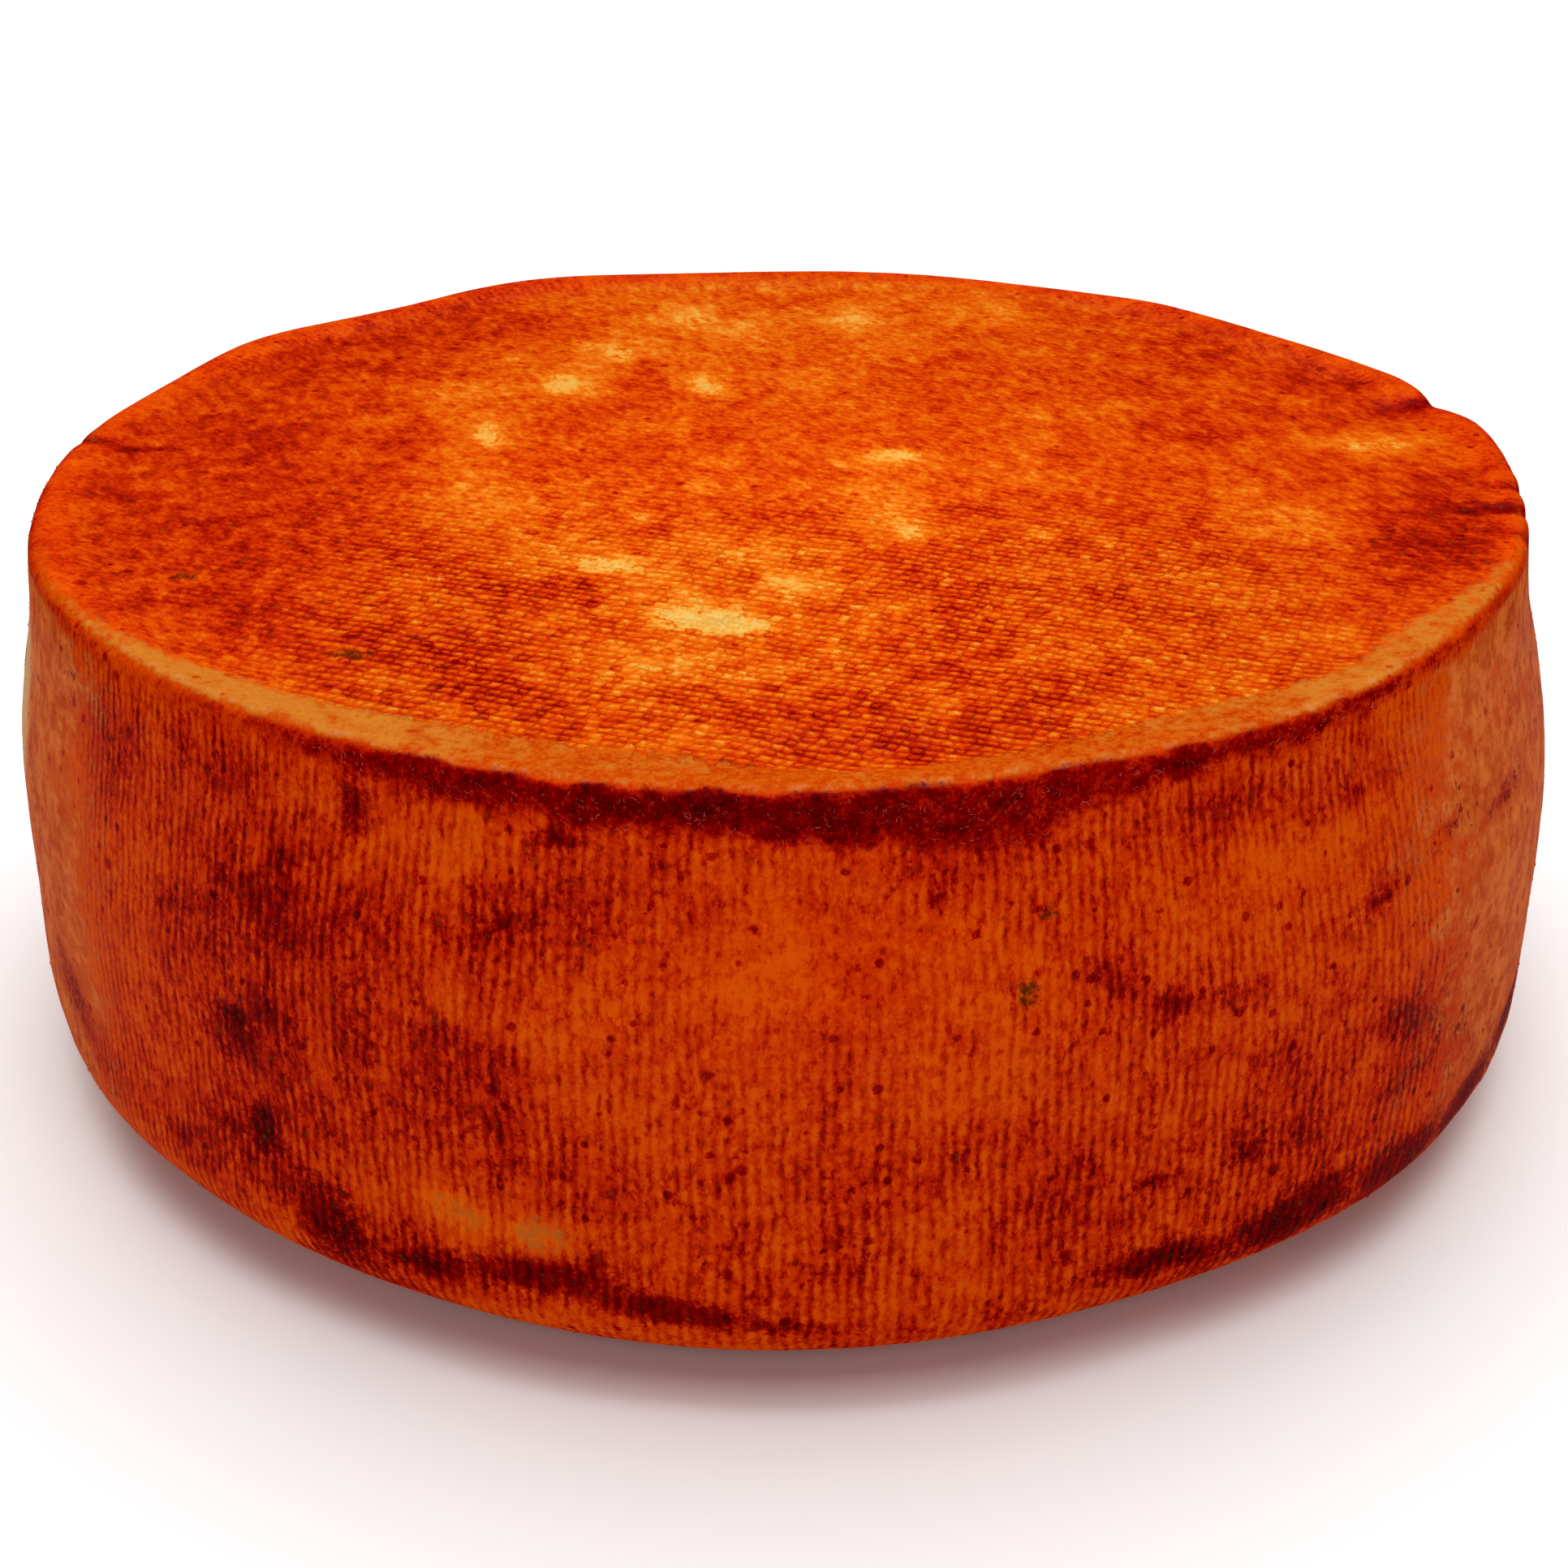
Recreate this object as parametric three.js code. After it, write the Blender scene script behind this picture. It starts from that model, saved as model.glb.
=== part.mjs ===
// One uncut wheel of pressed cheese in its rind, in millimetres, +Z up.
// The wheel lies flat. Its origin is the middle of the underside, and -Y is its front.
import * as THREE from 'three';
import { mergeVertices } from 'three/addons/utils/BufferGeometryUtils.js';

// Driving dimensions
const HEIGHT = 67;             // underside to the top of the rim lip
const RIM_RADIUS = 86;         // sharp outer edge of the top face
const BELLY_RADIUS = 90;       // the side at its widest
const FLARE_HEIGHT = 30;       // from the rim down to where the belly is full
const FOOT_ROUND_HEIGHT = 12.5; // the soft lower corner, up the side
const FOOT_ROUND_WIDTH = 23.5; // and in along the underside
const RIM_ROUND = 1.4;         // small round on the rim's outer edge
const LIP_WIDTH = 9;           // smooth lip that the press plate left round the top
const LIP_RISE = 1.0;          // the lip's height over the shallow valley inside it
const TOP_CROWN = 0.8;         // rise of the top face from that valley to its middle

// How finely the form is cut into faces
const COLUMNS = 128;
const STEPS = { underside: 3, footRound: 8, side: 10, rimRound: 3, lip: 3, top: 7 };

// Where the cloth's folds let the rim swell (out, up > 0) or pinched it (out, up < 0).
// Angles are in degrees, turning left from +X. Spreads are in degrees, the rest in millimetres.
const RIM_SWELLS = [
  { at: 17, spread: 13, out: 2.2, up: 0.2 },   // right-hand bulge
  { at: 17, spread: 4.0, out: -1.4, up: -0.6 }, // the fold that splits it
  { at: 37, spread: 7, out: -0.6, up: 0.2 },   // flat between two corners
  { at: 52, spread: 8, out: 1.0, up: 0.2 },    // blunt corner at the back right
  { at: 76, spread: 9, out: 0.4, up: 0.1 },
  { at: 96, spread: 7, out: -0.3, up: 0.0 },
  { at: 115, spread: 11, out: 2.4, up: 0.4 },  // long bulge at the back left
  { at: 144, spread: 9, out: 2.4, up: 0.2 },
  { at: 172, spread: 11, out: 0.6, up: 0.0 },
  { at: 202, spread: 12, out: 0.8, up: 0.0 },
  { at: 240, spread: 12, out: -1.0, up: -0.2 },
  { at: 293, spread: 14, out: -1.2, up: 0.0 },
  { at: 325, spread: 16, out: -1.2, up: 0.2 },
  { at: 352, spread: 10, out: -0.4, up: 0.0 },
];

// Slow bulges of the lower side, from the way the curd settled in the mould
const SIDE_SWELLS = [
  { at: -8, spread: 20, out: 0.4 },
  { at: -40, spread: 13, out: 0.8 },
  { at: -66, spread: 12, out: -0.3 },
  { at: -92, spread: 14, out: 0.7 },
  { at: -135, spread: 22, out: -0.4 },
  { at: 172, spread: 20, out: 0.9 },
  { at: 120, spread: 18, out: -0.5 },
  { at: 75, spread: 20, out: 0.5 },
  { at: 40, spread: 14, out: -0.3 },
];

const RIND_COLOUR = 0xc8500f;

// A smooth step from 0 to 1, the shape of every slow change of slope below
const ease = (t) => 0.5 - 0.5 * Math.cos(Math.PI * Math.min(Math.max(t, 0), 1));

const steps = (count, pointAt) =>
  Array.from({ length: count }, (_, i) => pointAt((i + 1) / count));

// The flat underside, from the axis out to where the lower corner starts to lift
function underside() {
  const footRadius = BELLY_RADIUS - FOOT_ROUND_WIDTH;
  const outwards = steps(STEPS.underside, (t) => new THREE.Vector2(footRadius * t, 0));
  return [new THREE.Vector2(0, 0), ...outwards];
}

// The lower corner is a quarter of an ellipse
function footRound() {
  const footRadius = BELLY_RADIUS - FOOT_ROUND_WIDTH;
  return steps(STEPS.footRound, (t) => {
    const turn = (Math.PI / 2) * t;
    const radius = footRadius + FOOT_ROUND_WIDTH * Math.sin(turn);
    return new THREE.Vector2(radius, FOOT_ROUND_HEIGHT * (1 - Math.cos(turn)));
  });
}

// The side stands straight over the lower corner, then leans in to the rim
function side() {
  const low = FOOT_ROUND_HEIGHT;
  const high = HEIGHT - RIM_ROUND;
  return steps(STEPS.side, (t) => {
    const height = low + (high - low) * t;
    const flare = ease((HEIGHT - height) / FLARE_HEIGHT);
    return new THREE.Vector2(RIM_RADIUS + (BELLY_RADIUS - RIM_RADIUS) * flare, height);
  });
}

// A small quarter round turns the side into the lip
function rimRound() {
  const middle = RIM_RADIUS - RIM_ROUND;
  return steps(STEPS.rimRound, (t) => {
    const turn = (Math.PI / 2) * t;
    const height = HEIGHT - RIM_ROUND + RIM_ROUND * Math.sin(turn);
    return new THREE.Vector2(middle + RIM_ROUND * Math.cos(turn), height);
  });
}

// The lip falls gently into the valley inside it
function lip() {
  const outer = RIM_RADIUS - RIM_ROUND;
  const inner = RIM_RADIUS - LIP_WIDTH;
  return steps(STEPS.lip, (t) =>
    new THREE.Vector2(outer + (inner - outer) * t, HEIGHT - LIP_RISE * ease(t)));
}

// The top face rises a little from the valley to the axis
function topFace() {
  const outer = RIM_RADIUS - LIP_WIDTH;
  return steps(STEPS.top, (t) =>
    new THREE.Vector2(outer * (1 - t), HEIGHT - LIP_RISE + TOP_CROWN * ease(t)));
}

// The sum of a list's swells at one angle, each a soft bump with the spread it names
function swell(list, degrees, direction) {
  let sum = 0;
  for (const bump of list) {
    const away = THREE.MathUtils.euclideanModulo(degrees - bump.at + 180, 360) - 180;
    sum += bump[direction] * Math.exp(-((away / bump.spread) ** 2));
  }
  return sum;
}

// Moves one point of the true round wheel to where the hand-made one has it
function settle(point) {
  const radius = Math.hypot(point.x, point.y);
  if (radius < 1e-6) {
    point.x = 0;
    point.y = 0;
    return;
  }
  const degrees = THREE.MathUtils.radToDeg(Math.atan2(point.y, point.x));
  const atRim = ease((point.z - (HEIGHT - FLARE_HEIGHT)) / FLARE_HEIGHT);
  const atEdge = Math.min(radius / RIM_RADIUS, 1) ** 3;
  const out = swell(RIM_SWELLS, degrees, 'out') * atRim
    + swell(SIDE_SWELLS, degrees, 'out') * (1 - atRim);
  const stretch = (radius + out * atEdge) / radius;
  point.x *= stretch;
  point.y *= stretch;
  point.z += swell(RIM_SWELLS, degrees, 'up') * atRim * atEdge;
}

// Leaves out the faces that have shrunk to a line on the axis
function withoutEmptyFaces(geometry) {
  const index = geometry.getIndex();
  const kept = [];
  for (let i = 0; i < index.count; i += 3) {
    const face = [index.getX(i), index.getX(i + 1), index.getX(i + 2)];
    if (new Set(face).size === 3) kept.push(...face);
  }
  geometry.setIndex(kept);
  return geometry;
}

function wheelGeometry() {
  const outline = [
    ...underside(), ...footRound(), ...side(), ...rimRound(), ...lip(), ...topFace(),
  ];
  const turned = new THREE.LatheGeometry(outline, COLUMNS);
  turned.rotateX(Math.PI / 2);
  turned.deleteAttribute('normal');
  turned.deleteAttribute('uv');
  const position = turned.getAttribute('position');
  const point = new THREE.Vector3();
  for (let i = 0; i < position.count; i++) {
    point.fromBufferAttribute(position, i);
    settle(point);
    position.setXYZ(i, point.x, point.y, point.z);
  }
  const wheel = withoutEmptyFaces(mergeVertices(turned, 1e-4));
  wheel.computeVertexNormals();
  return wheel;
}

const rind = new THREE.MeshStandardMaterial({
  color: RIND_COLOUR, roughness: 0.45, metalness: 0,
});

const wheel = new THREE.Mesh(wheelGeometry(), rind);
wheel.name = 'cheese_wheel';

const model = new THREE.Group();
model.add(wheel);

export default model;
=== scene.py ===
"""A whole wheel of pressed cheese in a waxy rind that was rubbed with red colouring.

The wheel is modelled once, as a ring drawn up into a drum, and then settled: the rim swells
and pinches, the folds of the cloth cut in, and the top crowns. The colour is one measure of how much
pigment the rind took, painted on the mesh in large and finished by the material in small. Short
fibres of the cheese cloth are stuck in the wax, most of them in the dark band under the rim; they
are partly real fibres and partly painted glints of the wax.
Lengths are in millimetres here, and MM turns them into metres.
"""
import functools
import math
import random
from types import SimpleNamespace

import bpy
import numpy as np
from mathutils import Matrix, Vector, noise


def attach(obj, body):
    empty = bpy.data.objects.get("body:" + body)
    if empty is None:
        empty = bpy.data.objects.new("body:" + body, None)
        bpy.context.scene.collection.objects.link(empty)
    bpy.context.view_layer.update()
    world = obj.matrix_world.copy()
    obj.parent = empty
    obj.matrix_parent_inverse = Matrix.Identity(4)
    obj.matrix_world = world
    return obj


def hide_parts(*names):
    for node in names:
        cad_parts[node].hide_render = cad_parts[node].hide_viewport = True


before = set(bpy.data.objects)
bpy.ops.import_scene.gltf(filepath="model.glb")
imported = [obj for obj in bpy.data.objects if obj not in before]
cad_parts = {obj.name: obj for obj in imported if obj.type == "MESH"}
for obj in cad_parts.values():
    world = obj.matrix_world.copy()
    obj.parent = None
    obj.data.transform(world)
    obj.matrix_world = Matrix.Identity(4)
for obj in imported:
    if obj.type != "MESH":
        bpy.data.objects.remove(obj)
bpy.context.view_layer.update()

MM = 0.001
SEED = 7

# The wheel, as the solid has it
HEIGHT = 67.0             # underside to the top of the rim lip
RIM_RADIUS = 86.0         # sharp outer edge of the top face
BELLY_RADIUS = 90.0       # the side at its widest
FLARE_HEIGHT = 30.0       # from the rim down to where the belly is full
FOOT_ROUND_HEIGHT = 12.5  # the soft lower corner, up the side
FOOT_ROUND_WIDTH = 23.5   # and in along the underside
RIM_ROUND = 1.4           # small round on the rim's outer edge
LIP_WIDTH = 9.0           # smooth lip that the press plate left round the top
LIP_RISE = 1.0            # the lip's height over the shallow valley inside it
TOP_CROWN = 0.8           # rise of the top face from that valley to its middle

# How the drum is cut before it is smoothed twice
COLUMNS = 112
GRID_RADIUS = 52.0        # inside this the faces are a square grid, with no pole
FLAT_RING = 0.9           # a ring at this share of the foot's radius keeps the underside flat
STATIONS = {"foot": 7, "side": 12, "rim": 3, "lip": 5, "top": 5}
SMOOTHINGS = 2

# Where the rim swells or is pinched: degrees left of +X, spread in degrees, out and up in mm
RIM_SWELLS = [
    (17, 13, 2.2, 0.2),
    (17, 4, -1.4, -0.6),
    (37, 7, -0.6, 0.2),
    (52, 8, 1.0, 0.2),
    (76, 9, 0.4, 0.1),
    (96, 7, -0.3, 0.0),
    (115, 11, 2.4, 0.4),
    (144, 9, 2.4, 0.2),
    (172, 11, 0.6, 0.0),
    (202, 12, 0.8, 0.0),
    (240, 12, -1.0, -0.2),
    (293, 14, -1.2, 0.0),
    (325, 16, -1.2, 0.2),
    (352, 10, -0.4, 0.0),
]
# Slow bulges of the lower side: degrees, spread in degrees, out in mm
SIDE_SWELLS = [
    (-8, 20, 0.4),
    (-40, 13, 0.8),
    (-66, 12, -0.3),
    (-92, 14, 0.7),
    (-135, 22, -0.4),
    (172, 20, 0.9),
    (120, 18, -0.5),
    (75, 20, 0.5),
    (40, 14, -0.3),
]
OUT, UP = 2, 3            # the columns of both lists that hold the swell

# Folds that the cloth left across the rim: degrees, reach in from the edge, width and depth in mm
FOLDS = [
    (17.5, 12.0, 2.2, 0.35),
    (0.5, 9.0, 1.3, 0.12),
    (-4.0, 12.0, 1.5, 0.2),
    (-9.0, 15.0, 1.6, 0.45),
    (-14.5, 11.0, 1.5, 0.15),
    (173.0, 13.0, 1.4, 0.22),
]
FOLD_RUNS_DOWN = 9.0      # how far a fold runs down the side from the rim
FOLD_SIDE_SHARE = 0.5     # how deep it is there, as a share of its depth on the top

# The stains lie in shallow pits, which stop short of the rim
STAIN_DEPTH = 0.3
STAINS_END = HEIGHT - 4.0

# The slow unevenness of the rind: patch size in mm, octaves, seed, and height in mm
SIDE_UNEVEN = [(34.0, 2, 1, 0.3), (9.0, 3, 2, 0.16)]
TOP_UNEVEN = [(30.0, 2, 3, 0.4), (7.0, 3, 4, 0.14)]

# Where the side's unevenness grows from nothing, out from a radius and up from the ground
SIDE_FROM = 74.0
SIDE_GROWS = 12.0
FOOT_GROWS = 10.0

# And where the top's does, in from the rim's edge
TOP_FROM = RIM_RADIUS - 1.0
TOP_GROWS = 6.0

# The cloth: a plain weave printed on both faces, and its upright threads on the side
THREAD_PITCH = 1.25        # along a row of the weave
ROW_PITCH = 1.34           # from one row to the next
CLOTH_TURN = math.radians(22.0)
RIBS_AROUND = 448


def ease(t):
    """A smooth step from 0 to 1."""
    return 0.5 - 0.5 * np.cos(np.pi * np.clip(t, 0.0, 1.0))


def between(share, first, second):
    """The value that lies a share of the way from the first to the second."""
    return first + (second - first) * share


# ---------------------------------------------------------------- the camera

PICTURE_PIXELS = 1932
FOCAL_PIXELS = 3352
SENSOR_MM = 36.0
CAMERA_BACK = 303.6       # in front of the wheel's axis
CAMERA_UP = 175.5         # over what the wheel stands on
CAMERA_DOWN = math.radians(26.29)


def place_camera():
    data = bpy.data.cameras.new("camera")
    data.sensor_width = SENSOR_MM
    data.lens = SENSOR_MM * FOCAL_PIXELS / PICTURE_PIXELS
    data.clip_start = 0.01
    camera = bpy.data.objects.new("camera", data)
    camera.location = (0.0, -CAMERA_BACK * MM, CAMERA_UP * MM)
    camera.rotation_euler = (math.pi / 2 - CAMERA_DOWN, 0.0, 0.0)
    bpy.context.scene.collection.objects.link(camera)
    bpy.context.scene.camera = camera


# ---------------------------------------------------------------- the drum

def stops(start, end, part):
    """The evenly spaced stations of one part of the outline, without its start."""
    return np.linspace(start, end, STATIONS[part] + 1)[1:]


def wheel_outline():
    """Stations of the side view, from the underside's grid up to the top's, as (radius, height)."""
    foot = BELLY_RADIUS - FOOT_ROUND_WIDTH
    stations = [(GRID_RADIUS, 0.0), (foot * FLAT_RING, 0.0), (foot, 0.0)]
    for turn in stops(0.0, math.pi / 2, "foot"):
        radius = foot + FOOT_ROUND_WIDTH * math.sin(turn)
        stations.append((radius, FOOT_ROUND_HEIGHT * (1.0 - math.cos(turn))))
    side_top = HEIGHT - RIM_ROUND
    for height in stops(FOOT_ROUND_HEIGHT, side_top, "side"):
        flare = float(ease((HEIGHT - height) / FLARE_HEIGHT))
        stations.append((RIM_RADIUS + (BELLY_RADIUS - RIM_RADIUS) * flare, height))
    for turn in stops(0.0, math.pi / 2, "rim"):
        radius = RIM_RADIUS - RIM_ROUND + RIM_ROUND * math.cos(turn)
        stations.append((radius, side_top + RIM_ROUND * math.sin(turn)))
    lip_inside = RIM_RADIUS - LIP_WIDTH
    for radius in stops(RIM_RADIUS - RIM_ROUND, lip_inside, "lip"):
        stations.append((radius, top_height(radius)))
    for radius in stops(lip_inside, GRID_RADIUS, "top"):
        stations.append((radius, top_height(radius)))
    return stations


def top_height(radius):
    """Height of the true round top at a radius: the lip, the valley and the crown."""
    outer = RIM_RADIUS - RIM_ROUND
    inner = RIM_RADIUS - LIP_WIDTH
    fall = LIP_RISE * ease((outer - radius) / (outer - inner))
    return HEIGHT - fall + TOP_CROWN * ease(1.0 - radius / inner)


def draw_out(station, following):
    """Extrudes the selected ring and takes the new one to the next station."""
    rise = (following[1] - station[1]) * MM
    bpy.ops.mesh.extrude_region_move(TRANSFORM_OT_translate={"value": (0.0, 0.0, rise)})
    grow = following[0] / station[0]
    bpy.ops.transform.resize(value=(grow, grow, 1.0), center_override=(0.0, 0.0, 0.0))


def select_ring(wheel, radius, height):
    """Selects the edges whose ends both lie on one ring of the drum."""
    bpy.ops.mesh.select_all(action="DESELECT")
    bpy.ops.object.mode_set(mode="OBJECT")
    near = 0.2 * MM
    points = wheel.data.vertices
    for point in points:
        away = math.hypot(point.co.x, point.co.y) - radius * MM
        point.select = abs(away) < near and abs(point.co.z - height * MM) < near
    for edge in wheel.data.edges:
        edge.select = all(points[end].select for end in edge.vertices)
    bpy.ops.object.mode_set(mode="EDIT")


def model_drum():
    """The true round wheel: a ring drawn up along the outline, closed by two square grids."""
    stations = wheel_outline()
    bpy.ops.object.select_all(action="DESELECT")
    bpy.ops.mesh.primitive_circle_add(
        vertices=COLUMNS, radius=stations[0][0] * MM, fill_type="NOTHING"
    )
    wheel = bpy.context.object
    wheel.name = "cheese_rind"
    bpy.ops.object.mode_set(mode="EDIT")
    bpy.ops.mesh.select_mode(type="VERT")
    bpy.ops.mesh.select_all(action="SELECT")
    for station, following in zip(stations, stations[1:]):
        draw_out(station, following)
    bpy.ops.mesh.fill_grid(span=COLUMNS // 4)
    select_ring(wheel, *stations[0])
    bpy.ops.mesh.fill_grid(span=COLUMNS // 4)
    bpy.ops.mesh.select_all(action="SELECT")
    bpy.ops.mesh.normals_make_consistent(inside=False)
    bpy.ops.object.mode_set(mode="OBJECT")
    smooth = wheel.modifiers.new("smooth", "SUBSURF")
    smooth.levels = SMOOTHINGS
    smooth.render_levels = SMOOTHINGS
    bpy.ops.object.modifier_apply(modifier=smooth.name)
    bpy.ops.object.shade_smooth()
    return wheel


# ---------------------------------------------------------------- places on the wheel

class Places:
    """Every mesh point's place in mm, with its radius and its angle in degrees."""

    def __init__(self, mesh):
        flat = np.empty(len(mesh.vertices) * 3)
        mesh.vertices.foreach_get("co", flat)
        self.xyz = flat.reshape(-1, 3) / MM
        self.measure()

    def measure(self):
        self.x, self.y, self.z = self.xyz.T
        self.radius = np.hypot(self.x, self.y)
        self.degrees = np.degrees(np.arctan2(self.y, self.x))

    def write(self, mesh):
        mesh.vertices.foreach_set("co", (self.xyz * MM).ravel())
        mesh.update()

    def turned(self, degrees):
        """How far each point is from an angle, in degrees either way."""
        return (self.degrees - degrees + 180.0) % 360.0 - 180.0

    def rough(self, size, octaves=3, seed=0):
        """Smooth chance from about -1 to 1, with patches of the given size in mm."""
        shift = Vector((seed * 17.3, seed * 5.1, seed * 9.7))
        falloff, gap = 0.9, 2.1
        return np.array([
            noise.fractal(Vector(p) / size + shift, falloff, gap, octaves) for p in self.xyz
        ])


def swell(places, bumps, column):
    """The sum of a list's swells at each point."""
    total = np.zeros_like(places.radius)
    for bump in bumps:
        total += bump[column] * np.exp(-(places.turned(bump[0]) / bump[1]) ** 2)
    return total


def unevenness(places, layers):
    """Bumps and hollows of the rind at each point, in mm."""
    return sum(height * places.rough(size, octaves, seed) for size, octaves, seed, height in layers)


def fold_cover(places):
    """How deep in a fold each point of the rim lies, in mm."""
    cover = np.zeros_like(places.radius)
    for degrees, reach, width, depth in FOLDS:
        away = places.turned(degrees)
        across = np.radians(away) * places.radius
        inwards = ease((places.radius - RIM_RADIUS + reach) / reach)
        fold = depth * np.exp(-(across / width) ** 2) * inwards * (np.abs(away) < 40.0)
        cover = np.maximum(cover, fold)
    return cover


# ---------------------------------------------------------------- settling

def settle(wheel):
    """Takes the true round drum to the hand-made shape."""
    places = Places(wheel.data)
    top = (places.z > HEIGHT - FLARE_HEIGHT) & (places.radius < RIM_RADIUS - RIM_ROUND - 0.1)
    places.xyz[top, 2] = top_height(places.radius[top])
    places.measure()
    at_rim = ease((places.z - (HEIGHT - FLARE_HEIGHT)) / FLARE_HEIGHT)
    at_edge = np.minimum(places.radius / RIM_RADIUS, 1.0) ** 3
    folds = fold_cover(places)
    out = settle_side(places, at_rim, at_edge, folds)
    up = settle_top(places, at_rim, at_edge, folds)
    stretch = (places.radius + out) / np.maximum(places.radius, 1e-6)
    places.xyz[:, 0] *= stretch
    places.xyz[:, 1] *= stretch
    places.xyz[:, 2] += up
    places.measure()
    places.write(wheel.data)


def settle_side(places, at_rim, at_edge, folds):
    """How far each point goes out: swells, unevenness, folds and the pits of the stains."""
    out = swell(places, RIM_SWELLS, OUT) * at_rim + swell(places, SIDE_SWELLS, OUT) * (1.0 - at_rim)
    out = out * at_edge
    on_side = ease((places.radius - SIDE_FROM) / SIDE_GROWS) * ease(places.z / FOOT_GROWS)
    out += on_side * unevenness(places, SIDE_UNEVEN)
    run_down = ease((places.z - HEIGHT + FOLD_RUNS_DOWN) / FOLD_RUNS_DOWN)
    out -= FOLD_SIDE_SHARE * folds * run_down
    return out - STAIN_DEPTH * side_marks(places, SIDE_STAINS) * (places.z < STAINS_END)


def settle_top(places, at_rim, at_edge, folds):
    """How far each point goes up: swells of the rim, unevenness of the top, and folds."""
    up = swell(places, RIM_SWELLS, UP) * at_rim * at_edge
    on_top = at_rim * ease((TOP_FROM - places.radius) / TOP_GROWS)
    up += on_top * unevenness(places, TOP_UNEVEN)
    return up - folds * at_rim


# ---------------------------------------------------------------- the painted pigment

# Marks on the top: x, y, half length, half width in mm, turn in degrees, strength
TOP_CREAM = [
    (-7.0, -44.6, 5.6, 2.8, -18, 1.0),
    (-19.0, -29.5, 4.5, 2.6, -15, 0.55),
    (-28.5, 33.0, 2.8, 4.0, 0, 0.6),
    (-10.5, 33.0, 2.2, 4.4, 15, 0.6),
    (-22.0, 47.0, 2.6, 5.0, 20, 0.35),
    (-26.5, 50.0, 2.2, 2.6, 0, 0.3),
    (-35.0, 43.5, 2.6, 3.4, 0, 0.3),
    (-44.0, 28.0, 1.8, 4.0, 0, 0.3),
    (-36.0, 13.5, 2.2, 5.4, 10, 0.4),
    (-17.5, 17.0, 1.6, 2.2, 0, 0.2),
    (13.5, 4.6, 3.8, 2.4, 0, 0.5),
    (14.0, -19.5, 1.6, 4.0, -12, 0.45),
    (-15.5, -15.0, 2.4, 2.6, 0, 0.3),
    (-12.5, 64.0, 4.4, 6.5, 10, 0.3),
    (9.5, 63.0, 3.8, 6.5, 0, 0.3),
    (28.5, -20.5, 1.3, 2.0, 20, 0.35),
    (36.0, -23.0, 1.4, 2.6, 20, 0.25),
    (0.5, -34.5, 3.0, 2.6, 0, 0.3),
    (71.0, 10.5, 9.0, 4.0, 10, 0.25),
    (42.0, -32.5, 3.0, 1.5, -20, 0.3),
    (56.0, -35.0, 1.6, 1.1, 0, 0.2),
    (-38.0, -33.0, 3.6, 1.8, -20, 0.3),
    (-4.0, -58.0, 3.0, 2.0, 0, 0.25),
    (-14.0, -56.0, 2.4, 1.6, 0, 0.2),
]
TOP_AMBER = [
    (-9.0, -42.0, 14.0, 8.0, -20, 0.9),
    (-9.0, -24.0, 6.0, 6.0, 0, 0.8),
    (-20.0, -28.0, 13.0, 7.0, -20, 0.9),
    (-33.0, -10.0, 7.0, 13.0, 15, 0.6),
    (-3.0, -27.0, 12.0, 5.0, 0, 0.85),
    (1.0, -36.0, 7.0, 7.0, 0, 0.8),
    (-2.0, -8.0, 5.0, 5.0, 0, 0.2),
    (-36.0, 14.0, 6.0, 13.0, 0, 0.55),
    (-40.0, 29.0, 8.0, 7.0, 0, 0.5),
    (-27.0, 34.0, 7.0, 8.0, 0, 0.7),
    (-10.0, 34.0, 6.0, 9.0, 10, 0.6),
    (-24.0, 48.0, 13.0, 8.0, 10, 0.6),
    (-9.0, -54.0, 16.0, 7.0, -5, 0.9),
    (12.0, -14.0, 7.0, 11.0, 0, 0.8),
    (15.0, 2.5, 12.0, 5.0, 0, 0.65),
    (3.0, 28.0, 8.0, 14.0, 0, 0.5),
    (-11.0, 65.0, 11.0, 11.0, 0, 0.7),
    (10.0, 64.0, 10.0, 11.0, 0, 0.6),
    (30.0, -30.0, 15.0, 5.0, -20, 0.5),
    (34.0, -46.0, 18.0, 8.0, 20, 0.4),
    (48.0, -52.0, 13.0, 6.0, 40, 0.4),
    (58.0, -15.0, 8.0, 8.0, 10, 0.5),
    (75.0, 12.0, 11.0, 6.0, 0, 0.45),
    (-16.0, 17.0, 5.0, 5.0, 0, 0.4),
    (5.0, 20.0, 7.0, 6.0, 0, 0.35),
    (9.0, -44.0, 6.0, 6.0, 0, 0.8),
    (36.0, -66.0, 12.0, 4.0, 25, 0.55),
    (-43.0, -67.0, 8.0, 4.0, -30, 0.4),
    (-66.0, -46.0, 6.0, 5.0, -40, 0.2),
    (36.0, 24.0, 14.0, 12.0, 20, 0.45),
    (26.0, 65.0, 7.0, 6.0, 0, 0.6),
    (0.0, 80.0, 34.0, 7.0, 0, 0.6),
    (-28.0, -44.0, 10.0, 4.0, -10, 0.35),
    (46.0, -36.0, 13.0, 5.0, -5, 0.5),
    (12.0, 49.0, 6.0, 6.0, 0, 0.5),
    (35.0, 45.0, 7.0, 6.0, 0, 0.45),
    (22.0, 35.0, 9.0, 3.0, 0, 0.4),
    (-60.0, -2.0, 14.0, 5.0, 0, 0.2),
    (24.0, -14.0, 20.0, 14.0, 0, 0.3),
    (-18.0, -12.0, 22.0, 16.0, 0, 0.25),
    (70.0, 58.0, 8.0, 12.0, 30, 0.2),
    (-14.0, -74.0, 22.0, 3.0, 8, 0.5),
]
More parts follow.
